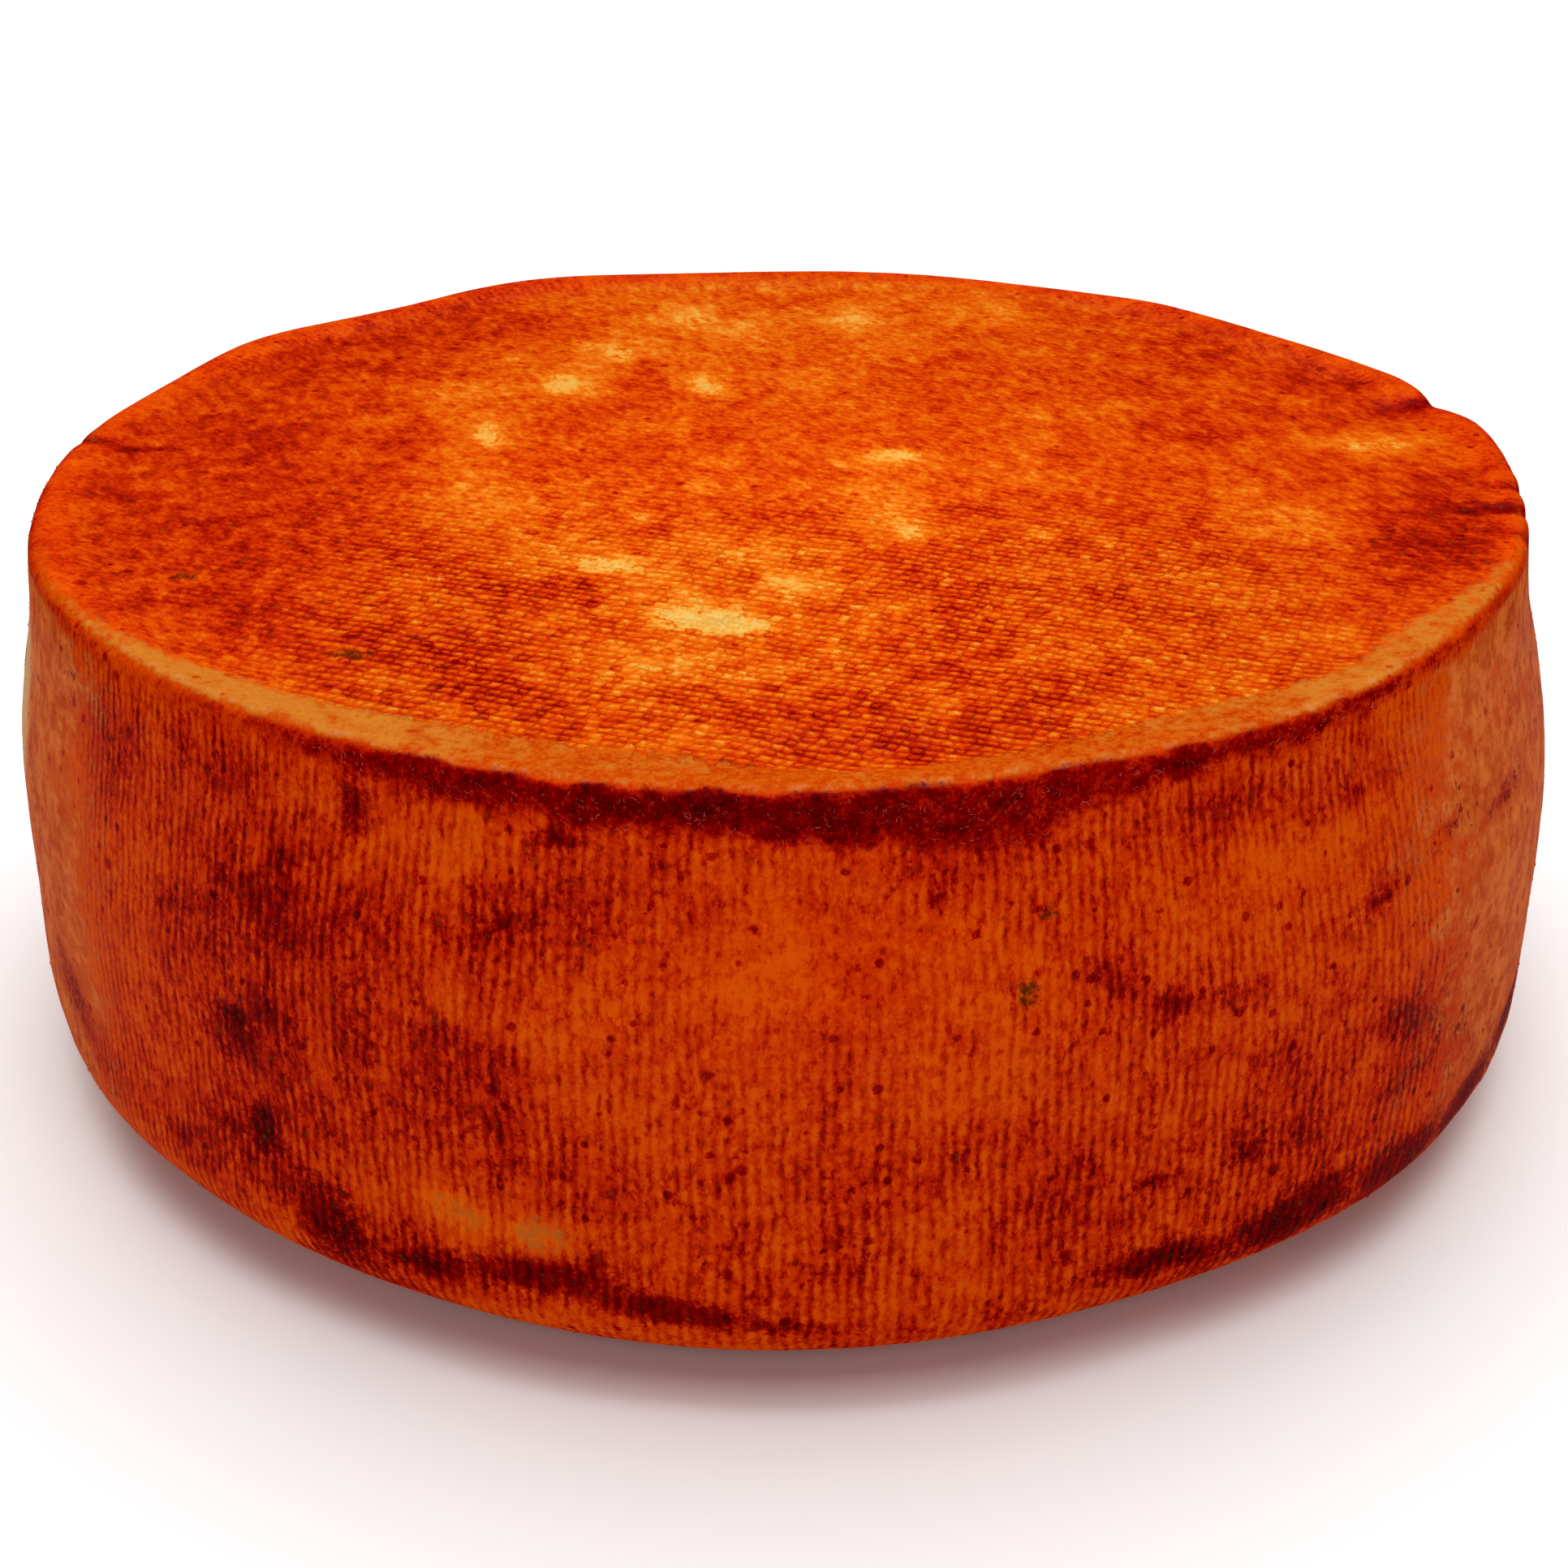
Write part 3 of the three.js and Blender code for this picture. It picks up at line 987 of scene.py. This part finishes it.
def place_in_mm(rind):
    """The place on the wheel in mm."""
    scaled = rind.add("ShaderNodeVectorMath", operation="SCALE")
    rind.feed(scaled.inputs[0], rind.add("ShaderNodeTexCoord").outputs["Object"])
    rind.feed(scaled.inputs["Scale"], 1.0 / MM)
    return scaled.outputs[0]


def specks(rind, where, scale, share, largest):
    """Round specks in a share of the cells of a 3-D scatter, as 0 to 1."""
    scatter = rind.add("ShaderNodeTexVoronoi", voronoi_dimensions="3D", feature="F1")
    rind.feed(scatter.inputs["Vector"], where)
    rind.feed(scatter.inputs["Scale"], scale)
    own = rind.add("ShaderNodeSeparateColor")
    rind.feed(own.inputs[0], scatter.outputs["Color"])
    reach = rind.step(own.outputs[1], 1.0 - share, 1.0, 0.0, largest * scale)
    inside = rind.minus(reach, scatter.outputs["Distance"])
    return rind.step(inside, 0.0, 0.12)


def freckles(rind, in_mm, patch, fine):
    """Specks of pigment, small ones and large ones, their outlines shaken."""
    shaken = rind.add("ShaderNodeVectorMath", operation="MULTIPLY_ADD")
    rind.feed(shaken.inputs[0], rind.vector(fine, patch, fine))
    rind.feed(shaken.inputs[1], (SPECK_SHAKE, SPECK_SHAKE, SPECK_SHAKE))
    rind.feed(shaken.inputs[2], in_mm)
    small = specks(rind, shaken.outputs[0], 0.5, 0.4, 0.62)
    large = specks(rind, shaken.outputs[0], 0.2, 0.5, 1.05)
    return rind.most(small, large)


# How fine each pattern is, in patches a millimetre
BROAD_SCALE = 0.13
BLOTCH_SCALE = 0.36
PATCH_SCALE = 0.9
FINE_SCALE = 2.5
STREAK_SCALE = 0.55
STROKE_SCALE = 0.75
GRIT_SCALE = 1.5
CRUST_SCALE = 3.2


def chance_patterns(rind, in_mm):
    """The patterns that colour and relief share, from patches of 8 mm down to a fine grain."""
    upright = rind.mapped(in_mm, (1.0, 1.0, 0.5))
    drawn = rind.mapped(in_mm, (1.0, 0.62, 1.0))
    rubbed = rind.mapped(in_mm, (2.2, 0.9, 1.0), RUBBED_ALONG, "TEXTURE")
    patch = rind.uneven(drawn, PATCH_SCALE, 3.0, 0.6)
    fine = rind.uneven(drawn, FINE_SCALE, 3.0, 0.65)
    return SimpleNamespace(
        broad=rind.uneven(in_mm, BROAD_SCALE, 3.0, 0.55),
        blotch=rind.uneven(drawn, BLOTCH_SCALE, 3.0, 0.6),
        patch=patch,
        fine=fine,
        streaks=rind.noise(upright, STREAK_SCALE, 3.0, 0.65),
        strokes=rind.uneven(rubbed, STROKE_SCALE, 3.0, 0.7),
        grit=rind.step(rind.noise(upright, GRIT_SCALE, 3.0, 0.65), 0.52, 0.62),
        freckle=freckles(rind, in_mm, patch, fine),
    )


# ---------------------------------------------------------------- the cloth's print

def cells(rind, u, v, climb, drop, notch, set_on):
    """
    Bricks on the whole numbers of v, every second row set on by a share of a brick. Gives each
    brick's cushion, from 0 in its grooves to 1, and a chance value of its own. A cushion climbs
    over the share climb of its row and falls over the share drop; notch is how deep the joints
    in a row are.
    """
    row = rind.math("FLOOR", v)
    odd = rind.math("PINGPONG", row, 1.0)
    shifted = rind.plus(u, rind.times(odd, set_on))
    column = rind.math("FLOOR", shifted)
    up_row = rind.minus(v, row)
    rise = rind.step(up_row, 0.0, climb)
    fall = rind.step(up_row, 1.0, 1.0 - drop)
    from_middle = rind.math("ABSOLUTE", rind.minus(rind.minus(shifted, column), 0.5))
    joint = rind.times(rind.step(from_middle, 0.22, 0.5), notch)
    cushion = rind.times(rind.times(rise, fall), rind.minus(1.0, joint))
    own = rind.chance(rind.vector(column, row))
    return cushion, own


def cloth_print(rind, in_mm, face):
    """The cloth's print: the height of its cushions, 0 to 1, and each cushion's own chance."""
    x, y, z = rind.split(in_mm)

    # The threads never lie quite straight
    slow = rind.uneven(in_mm, 0.11, 2.0)
    quick = rind.uneven(in_mm, 0.8, 2.0, 0.6)
    drift = rind.weighted((slow, 2.0), (quick, 1.0))

    # A plain weave on the flat faces, each cushion steep towards the front
    cos, sin = math.cos(CLOTH_TURN), math.sin(CLOTH_TURN)
    along = rind.weighted((x, cos / THREAD_PITCH), (y, -sin / THREAD_PITCH), (drift, 1.0))
    across = rind.weighted((x, sin / ROW_PITCH), (y, cos / ROW_PITCH), (drift, 0.6))
    # Pigment follows the cushions, so each is paler high up and darker down its long slope to the
    # front: partly the print's own colour and partly painted shade
    weave, weave_own = cells(rind, along, across, 0.6, 0.24, 0.65, 0.15)

    # Upright threads on the side
    angle = rind.math("ARCTAN2", x, rind.times(y, -1.0))
    ribs = rind.weighted((angle, RIBS_AROUND / math.tau), (drift, 0.7))
    beads = rind.weighted((z, 0.6 / THREAD_PITCH), (drift, 1.5))
    side, side_own = cells(rind, beads, ribs, 0.45, 0.45, 0.35, 0.5)
    return rind.pick(face, side, weave), rind.pick(face, side_own, weave_own)


def print_shown(rind, painted, rough, ragged_lip, ragged_cream):
    """How plainly the print shows: not on the lip or in the band, and faintly in bare cream."""
    smooth = rind.most(rind.step(ragged_lip, 0.45, 0.95), rind.times(painted.band, 0.9))
    least = rind.pick(painted.face, 0.15, 0.5)
    shown = rind.times(rind.step(rough.streaks, 0.34, 0.6, least, 1.0), painted.print)
    shown = rind.times(shown, rind.math("SUBTRACT", 1.0, smooth, clamp=True))
    return rind.times(shown, rind.step(ragged_cream, 0.3, 0.8, 1.0, 0.1))


# ---------------------------------------------------------------- the rind's pigment

FULL_LOAD = 1.4                # the pigment at which the rind is nearly black

# What each pattern adds to the pigment. Two values are for the side and for a flat face.
BROAD_ADDS = 0.35
BLOTCH_ADDS = (0.35, 0.5)
PATCH_ADDS = (0.35, 0.5)
FINE_ADDS = (0.34, 0.15)
GRIT_ADDS = (0.12, 0.08)
CROWDING_ADDS = (0.12, 0.0)    # thick pigment clots and so grows darker still
GROOVES_ADD = (0.28, 0.46)
CUSHIONS_ADD = (0.12, 0.34)    # some cushions took more than others
FRECKLES_ADD = (0.28, 0.2)
CREAM_TAKES = (0.12, 0.45)
PRINTED_BLOTCH_ADDS = 0.38     # where the weave shows on a flat face
PRINTED_PATCH_ADDS = 0.34
STAINS_ADD = 0.38
LEAST_ON_SIDE = 0.44           # even the palest part of the side took this much

# The colour of the rind by its pigment
PIGMENT_TONES = [
    (0.00, (230, 162, 66)),
    (0.12, (230, 138, 42)),
    (0.25, (225, 113, 22)),
    (0.38, (218, 90, 15)),
    (0.50, (208, 69, 13)),
    (0.60, (196, 51, 12)),
    (0.70, (178, 34, 12)),
    (0.80, (154, 21, 12)),
    (0.92, (127, 13, 12)),
    (1.05, (103, 10, 12)),
    (1.20, (80, 10, 12)),
    (1.40, (52, 11, 12)),
]


def rubbed_load(rind, painted, rough, shown):
    """The pigment as it was rubbed on: in blotches, in strokes over the top, and in grit."""
    face = painted.face
    woven = rind.times(face, rind.step(shown, 0.3, 0.9))
    blotch_adds = rind.pick(woven, rind.pick(face, *BLOTCH_ADDS), PRINTED_BLOTCH_ADDS)
    patch_adds = rind.pick(woven, rind.pick(face, *PATCH_ADDS), PRINTED_PATCH_ADDS)
    stroke_adds = rind.times(face, rind.step(painted.print, 0.4, 1.0, 0.8, 0.2))
    load = rind.plus(painted.pigment, rind.weighted(
        (rough.broad, BROAD_ADDS),
        (rough.blotch, blotch_adds),
        (rough.patch, patch_adds),
        (rough.fine, rind.pick(face, *FINE_ADDS)),
        (rough.strokes, stroke_adds),
        (rough.grit, rind.pick(face, *GRIT_ADDS)),
    ))
    crowded = rind.step(load, 0.66, 0.88)
    return rind.plus(load, rind.times(crowded, rind.pick(face, *CROWDING_ADDS)))


def printed_load(rind, load, face, cushion, own, shown):
    """The same with the cloth: pigment lies in its grooves and is wiped off its cushions."""
    taken = rind.math("MINIMUM", rind.most(rind.plus(load, 0.35), 0.2), 1.1)
    # On the top this also paints each cushion's long front slope darker, partly as shade
    grooves = rind.times(rind.times(rind.minus(0.6, cushion), shown), taken)
    mottled = rind.times(rind.minus(own, 0.5), shown)
    load = rind.plus(load, rind.times(grooves, rind.pick(face, *GROOVES_ADD)))
    load = rind.plus(load, rind.times(mottled, rind.pick(face, *CUSHIONS_ADD)))
    return rind.pick(face, rind.math("SMOOTH_MAX", load, LEAST_ON_SIDE, 0.12), load)


def stain_cover(rind, painted, rough):
    """Where stains lie, with ragged edges."""
    spread = rind.weighted((rough.patch, 0.7), (rough.fine, 0.5))
    return rind.step(rind.plus(painted.stain, spread), 0.1, 0.8)


def band_cover(rind, painted, rough):
    """Where the dark band lies, with ragged edges."""
    spread = rind.weighted((rough.patch, 0.9), (rough.fine, 0.6), (rough.blotch, 0.4))
    return rind.step(rind.plus(painted.band, spread), 0.12, 0.72)


def heaped_load(rind, load, painted, rough, stains, banded):
    """The same with the specks, the stains and the crumbly band, which are pigment heaped up."""
    load = rind.plus(load, rind.weighted(
        (rough.freckle, rind.pick(painted.face, *FRECKLES_ADD)),
        (stains, STAINS_ADD),
        (painted.band, 0.4),
    ))
    crumbs = rind.weighted((rough.fine, 0.9), (rough.patch, 0.8), (rough.blotch, 0.5))
    in_band = rind.plus(rind.plus(rind.times(painted.band, 0.42), 0.64), crumbs)
    return rind.pick(banded, load, in_band)


def pigment_colour(rind, load):
    """The rind's colour by its load of pigment."""
    share = rind.math("DIVIDE", load, FULL_LOAD, clamp=True)
    return rind.ramp(share, [(at / FULL_LOAD, tone(*seen)) for at, seen in PIGMENT_TONES])


# ---------------------------------------------------------------- what lies over the pigment

# Colours as the eye reads them
DEEP_CREAM = (202, 148, 64)
PALE_CREAM = (218, 184, 104)
BARE_SIDE = (178, 92, 30)
SPECK_ON_CREAM = (176, 60, 8)
# The painted shade over the back and sides of the top
FALLOFF_SHADE_TONE = (104, 34, 8)
DEEP_TAN = (176, 57, 15)
TAN = (222, 114, 48)
PALE_TAN_SHEEN = (216, 168, 112)
RED_WAX = (168, 42, 8)
AMBER_WAX = (194, 86, 16)
TAN_WAX = (191, 112, 36)
SPECK_ON_WAX = (168, 38, 8)
MOULD = (52, 34, 12)
LINT_RED = (150, 38, 32)
# The pale pink of the fibres, which also stands in for painted glints
PALE_FIBRE_GLINT = (218, 98, 88)


def over_bare_cream(rind, colour, painted, rough, ragged_cream):
    """The rind without its colouring: cream on the top, a muted amber on the side."""
    paler = rind.step(rind.plus(rough.fine, rough.patch), -0.1, 0.2)
    cream = rind.blend(paler, tone(*DEEP_CREAM), tone(*PALE_CREAM))
    bare = rind.blend(painted.face, tone(*BARE_SIDE), cream)
    bare = rind.blend(rough.freckle, bare, tone(*SPECK_ON_CREAM))
    return rind.blend(rind.step(ragged_cream, 0.4, 0.9, 0.0, 0.9), colour, bare)


def over_tan_and_sheen(rind, colour, painted, rough, load, stains):
    """A cloudy tan under what specks there are: the rind's own tan where little colouring took, and
    a painted sheen at the two ends of the side.
    """
    ragged = rind.plus(rind.plus(rough.patch, rough.blotch), rind.times(rough.broad, 1.6))
    ragged = rind.times(ragged, rind.step(painted.wash, 0.02, 0.4))
    wash = rind.step(rind.plus(painted.wash, ragged), 0.15, 0.95)
    wash = rind.times(wash, rind.minus(0.9, rind.times(stains, 0.9)))
    laden = rind.most(rind.times(rough.freckle, 0.5), rind.step(load, 0.68, 0.95, 0.0, 0.85))
    wash = rind.times(wash, rind.minus(1.0, laden))
    cloudy = rind.weighted(
        (rough.blotch, 1.2), (rough.patch, 1.0), (rind.minus(rough.streaks, 0.5), 1.0),
        (rough.fine, 0.5),
    )
    tan = rind.blend(rind.step(cloudy, -0.4, 0.4), tone(*DEEP_TAN), tone(*TAN))
    palest = rind.step(rind.plus(painted.cream, rough.fine), 0.2, 0.7)
    return rind.blend(wash, colour, rind.blend(palest, tan, tone(*PALE_TAN_SHEEN)))


def over_lip_wax(rind, colour, painted, rough, ragged_lip):
    """The lip: smooth amber wax, in places tan, reddening towards the band."""
    waxy = rind.weighted((rough.blotch, 1.8), (rough.patch, 0.6))
    tan = rind.step(rind.plus(painted.tan, waxy), 0.1, 0.9)
    clear = rind.step(rind.plus(rough.patch, rough.fine), -0.3, 0.2)
    amber = rind.blend(clear, tone(*RED_WAX), tone(*AMBER_WAX))
    wax = rind.blend(tan, amber, tone(*TAN_WAX))
    dots = rind.most(rough.freckle, rind.times(rough.grit, 0.4))
    wax = rind.blend(rind.times(dots, 0.75), wax, tone(*SPECK_ON_WAX))
    fringe = rind.weighted((rough.patch, 1.3), (rough.fine, 0.8))
    red_edge = rind.step(rind.plus(painted.band, fringe), 0.2, 0.75)
    lip_share = rind.step(ragged_lip, 0.1, 0.95)
    return rind.blend(rind.times(lip_share, rind.minus(1.0, red_edge)), colour, wax)


def over_mould(rind, colour, painted, rough):
    """Small greenish flecks of mould."""
    spread = rind.weighted((rough.patch, 1.2), (rough.fine, 1.6))
    mould = rind.plus(painted.fleck, rind.times(spread, rind.step(painted.fleck, 0.02, 0.3)))
    return rind.blend(rind.step(mould, 0.25, 0.9, 0.0, 0.85), colour, tone(*MOULD))


# ---------------------------------------------------------------- the rind's relief and gloss

PRINT_RELIEF = (0.2, 0.32)     # height of the cushions in mm, on the side and on a flat face
GRAIN_RELIEF = 0.1
SETTLING_RELIEF = 0.25
CRUST_RELIEF = 0.3             # the rough skin over the band and the stains
WAX_IOR = 1.46
COAT_ROUGHNESS = 0.15
COAT = (0.045, 0.015)          # the waxy coat on the side and on the top
LIP_GLOSS = 0.16               # and what the lip has more of it, in places


def relief(rind, in_mm, face, rough, print_height, crust):
    """The bump of the cloth, a fine grain, slow hollows, and the rough skin of the crust."""
    rough_skin = rind.times(rind.noise(in_mm, CRUST_SCALE, 2.0, 0.7), crust)
    height = rind.weighted(
        (print_height, rind.pick(face, *PRINT_RELIEF)),
        (rough.fine, GRAIN_RELIEF),
        (rough.blotch, SETTLING_RELIEF),
        (rough_skin, CRUST_RELIEF),
    )
    bump = rind.add("ShaderNodeBump")
    bump.inputs["Strength"].default_value = 1.0
    bump.inputs["Distance"].default_value = MM
    rind.feed(bump.inputs["Height"], height)
    return bump.outputs["Normal"]


def waxy_shader(rind, in_mm, rough, ragged_lip, crust):
    """A soft waxy surface under a thin coat, with neither its colour nor its relief yet."""
    shader = rind.add("ShaderNodeBsdfPrincipled")
    roughness = rind.plus(rind.step(rough.fine, -0.2, 0.2, 0.32, 0.46), rind.times(crust, 0.2))
    rind.feed(shader.inputs["Roughness"], roughness)
    shader.inputs["IOR"].default_value = WAX_IOR
    shader.inputs["Specular IOR Level"].default_value = 0.0
    on_lip = rind.step(ragged_lip, 0.5, 0.9)
    gloss = rind.times(on_lip, rind.step(rough.patch, 0.04, 0.12, 0.0, LIP_GLOSS))
    up = rind.split(in_mm)[2]
    thin_coat = rind.step(up, HEIGHT - 8.0, HEIGHT - 3.0, *COAT)
    rind.feed(shader.inputs["Coat Weight"], rind.plus(gloss, thin_coat))
    shader.inputs["Coat Roughness"].default_value = COAT_ROUGHNESS
    return shader


PAINTED = (
    "face", "lip", "band", "tan", "pigment", "cream", "stain", "fleck", "print", "wash", "dull",
)


def make_rind():
    """Pigment rubbed over a waxy rind, with the cloth's print, the lip and the dark band."""
    rind = Finish("waxy_rind")
    in_mm = place_in_mm(rind)
    painted = SimpleNamespace(**{name: rind.painted(name) for name in PAINTED})
    rough = chance_patterns(rind, in_mm)

    ragged_lip = rind.plus(painted.lip, rind.weighted((rough.patch, 1.5), (rough.fine, 0.8)))
    tatters = rind.weighted((rough.patch, 1.7), (rough.fine, 0.7))
    at_cream = rind.step(painted.cream, 0.02, 0.25)
    ragged_cream = rind.plus(painted.cream, rind.times(tatters, at_cream))
    cushion, own = cloth_print(rind, in_mm, painted.face)
    shown = print_shown(rind, painted, rough, ragged_lip, ragged_cream)
    stains = stain_cover(rind, painted, rough)
    banded = band_cover(rind, painted, rough)
    crust = rind.most(stains, banded)

    load = rubbed_load(rind, painted, rough, shown)
    load = printed_load(rind, load, painted.face, cushion, own, shown)
    load = heaped_load(rind, load, painted, rough, stains, banded)
    cream_takes = rind.pick(painted.face, *CREAM_TAKES)
    load = rind.minus(load, rind.step(ragged_cream, 0.05, 0.6, 0.0, cream_takes))

    colour = pigment_colour(rind, load)
    colour = over_bare_cream(rind, colour, painted, rough, ragged_cream)
    # Painted shade: the top darkens outside an oval at its front, where the light falls off
    colour = rind.blend(rind.times(painted.dull, 0.18), colour, tone(*FALLOFF_SHADE_TONE))
    colour = over_tan_and_sheen(rind, colour, painted, rough, load, stains)
    colour = over_lip_wax(rind, colour, painted, rough, ragged_lip)
    colour = over_mould(rind, colour, painted, rough)

    shader = waxy_shader(rind, in_mm, rough, ragged_lip, crust)
    print_height = rind.times(cushion, shown)
    normal = relief(rind, in_mm, painted.face, rough, print_height, crust)
    rind.feed(shader.inputs["Base Color"], colour)
    rind.feed(shader.inputs["Normal"], normal)
    return rind.finished_with(shader)


# ---------------------------------------------------------------- fibres, partly painted glints

LINT_THICK = 0.05          # half the thickness of a fibre
LINT_THICKER = (0.7, 1.2)  # and how much more or less of it a fibre has
LINT_LENGTHS = (0.15, 0.5)
LINT_ASTRAY = (-0.6, 0.6)  # how far from its point of the rind a fibre lies, both ways along it
LINT_PROUD = 0.03          # and how far it stands off
LINT_PARTS = 4             # straight stretches of a fibre
LINT_BEND = math.radians(20.0)
# How many fibres there are, in the band and on the side; they are partly painted glints
BAND_FIBRES_AND_GLINTS = 1300
SIDE_FIBRES_AND_GLINTS = 1200


def model_fibre():
    """One curl of cloth fibre, a millimetre long: a three-sided thread drawn out in four bends."""
    bpy.ops.object.select_all(action="DESELECT")
    bpy.ops.mesh.primitive_circle_add(
        vertices=3, radius=LINT_THICK * MM, fill_type="NGON", rotation=(0.0, math.pi / 2, 0.0)
    )
    fibre = bpy.context.object
    fibre.name = "fibre"
    bpy.ops.object.transform_apply(location=False, rotation=True, scale=False)
    bpy.ops.object.mode_set(mode="EDIT")
    bpy.ops.mesh.select_all(action="SELECT")
    stretch = MM / LINT_PARTS
    reached = Vector((0.0, 0.0, 0.0))
    heading = 0.0
    for _ in range(LINT_PARTS):
        move = Vector((math.cos(heading), math.sin(heading), 0.0)) * stretch
        bpy.ops.mesh.extrude_region_move(TRANSFORM_OT_translate={"value": tuple(move)})
        reached += move
        heading += LINT_BEND
        bpy.ops.transform.rotate(value=-LINT_BEND, orient_axis="Z", center_override=tuple(reached))
    bpy.ops.mesh.select_all(action="SELECT")
    bpy.ops.mesh.normals_make_consistent(inside=False)
    bpy.ops.object.mode_set(mode="OBJECT")
    return fibre


def fibre_and_glint_homes(mesh, draw):
    """
    The rind's points that carry a fibre: many in the band, below the rim, and few on the side.
    They are put in order by place first, because Blender numbers them differently on each run.
    """
    places = Places(mesh)
    band = np.array([point.value for point in mesh.attributes["band"].data])
    in_band = (band > 0.35) & (from_rim(places) < -1.2)
    on_side = (places.radius > BELLY_RADIUS - 8.0) & (places.z > 6.0) & (places.z < HEIGHT - 3.0)
    in_order = np.lexsort((places.z, places.y, places.x))
    homes = draw.choices(in_order[in_band[in_order]].tolist(), k=BAND_FIBRES_AND_GLINTS)
    return homes + draw.choices(in_order[on_side[in_order]].tolist(), k=SIDE_FIBRES_AND_GLINTS)


def lay_fibre(point, draw):
    """A fibre's three axes, turned and sized by chance, and its place close to a point."""
    normal = point.normal
    aside = Vector((-normal.y, normal.x, 0.0)).normalized()
    upright = normal.cross(aside)
    turn = draw.uniform(0.0, math.tau)
    along = aside * math.cos(turn) + upright * math.sin(turn)
    over = normal.cross(along) * draw.choice((-1.0, 1.0))
    length = draw.uniform(*LINT_LENGTHS)
    thick = draw.uniform(*LINT_THICKER)
    astray = aside * draw.uniform(*LINT_ASTRAY) + upright * draw.uniform(*LINT_ASTRAY)
    place = point.co + (astray + normal * LINT_PROUD) * MM
    return np.array([along * length, over * length, normal * thick]), np.array(place)


def scatter_fibres_and_glints(wheel):
    """Short curls of cloth fibre stuck in the wax, as one mesh; they are partly real and partly
    painted glints.
    """
    fibre = model_fibre()
    shape = np.array([tuple(v.co) for v in fibre.data.vertices])
    faces = [tuple(face.vertices) for face in fibre.data.polygons]
    bpy.data.objects.remove(fibre)

    draw = random.Random(SEED + 1)
    homes = fibre_and_glint_homes(wheel.data, draw)
    corners = []
    for home in homes:
        axes, place = lay_fibre(wheel.data.vertices[home], draw)
        corners.append(shape @ axes + place)
    joined = bpy.data.meshes.new("lint_and_glints")
    joined.from_pydata(
        np.concatenate(corners).tolist(), [],
        [tuple(v + len(shape) * n for v in face) for n in range(len(homes)) for face in faces],
    )
    fibres_and_glints = bpy.data.objects.new("lint_and_glints", joined)
    bpy.context.scene.collection.objects.link(fibres_and_glints)
    bpy.ops.object.select_all(action="DESELECT")
    bpy.context.view_layer.objects.active = fibres_and_glints
    fibres_and_glints.select_set(True)
    bpy.ops.object.mode_set(mode="EDIT")
    bpy.ops.mesh.select_all(action="SELECT")
    bpy.ops.mesh.normals_make_consistent(inside=False)
    bpy.ops.object.mode_set(mode="OBJECT")
    bpy.ops.object.shade_smooth()
    return fibres_and_glints


def make_fibres_and_glints_colour():
    """Fibres dyed by the pigment, some more than others; the pale pink ones are partly painted
    glints.
    """
    fibres_and_glints = Finish("lint_and_glint_colour")
    place = fibres_and_glints.add("ShaderNodeTexCoord").outputs["Object"]
    dyed = fibres_and_glints.step(fibres_and_glints.noise(place, 0.8 / MM, 2.0), 0.35, 0.65)
    shader = fibres_and_glints.add("ShaderNodeBsdfPrincipled")
    fibres_and_glints.feed(shader.inputs["Base Color"], fibres_and_glints.blend(dyed, tone(*LINT_RED), tone(*PALE_FIBRE_GLINT)))
    shader.inputs["Roughness"].default_value = 0.6
    shader.inputs["Specular IOR Level"].default_value = 0.05
    return fibres_and_glints.finished_with(shader)


# ---------------------------------------------------------------- floor and light

# From here on lengths are in metres, and the lamps' power is in watts
FLOOR_SIZE = 6.0
PAPER = (0.95, 0.95, 0.95, 1.0)
WHITE = (1.0, 1.0, 1.0, 1.0)
ROOM_LIGHT = 0.06
BLACK_POINT = 0.004       # light that still counts as black, so that haze doesn't grey the reds
LAMP_AIM = Vector((0.0, 0.0, 0.035))
LAMPS = [
    ("ceiling", (0.0, 0.45, 1.2), 1.8, 25.0),
    ("key", (0.02, -0.25, 0.5), 0.3, 0.92),
    ("front", (-0.1, -1.2, 0.6), 0.8, 4.2),
]


def make_floor():
    bpy.ops.object.select_all(action="DESELECT")
    bpy.ops.mesh.primitive_plane_add(size=FLOOR_SIZE, location=(0.0, 0.0, 0.0))
    floor = bpy.context.object
    floor.name = "floor"
    paper = bpy.data.materials.new("white_paper")
    paper.use_nodes = True
    shader = paper.node_tree.nodes["Principled BSDF"]
    shader.inputs["Base Color"].default_value = PAPER
    shader.inputs["Roughness"].default_value = 0.9
    floor.data.materials.append(paper)


def soft_box(name, place, size, watts):
    """A square lamp that looks at the middle of the wheel."""
    lamp = bpy.data.lights.new(name, "AREA")
    lamp.shape = "SQUARE"
    lamp.size = size
    lamp.energy = watts
    holder = bpy.data.objects.new(name, lamp)
    holder.location = place
    look = LAMP_AIM - Vector(place)
    holder.rotation_euler = look.to_track_quat("-Z", "Y").to_euler()
    bpy.context.scene.collection.objects.link(holder)


def light_studio():
    scene = bpy.context.scene
    scene.view_settings.view_transform = "Standard"
    scene.view_settings.look = "None"
    scene.view_settings.use_curve_mapping = True
    scene.view_settings.curve_mapping.black_level = (BLACK_POINT, BLACK_POINT, BLACK_POINT)
    world = bpy.data.worlds.new("white_room")
    world.use_nodes = True
    background = world.node_tree.nodes["Background"]
    background.inputs["Color"].default_value = WHITE
    background.inputs["Strength"].default_value = ROOM_LIGHT
    scene.world = world
    for lamp in LAMPS:
        soft_box(*lamp)


place_camera()
cheese = model_drum()
settle(cheese)
paint(cheese)
cheese.data.materials.append(make_rind())
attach(cheese, "root")
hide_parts("cheese_wheel")
fibres_and_glints = scatter_fibres_and_glints(cheese)
fibres_and_glints.data.materials.append(make_fibres_and_glints_colour())
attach(fibres_and_glints, "root")
make_floor()
light_studio()
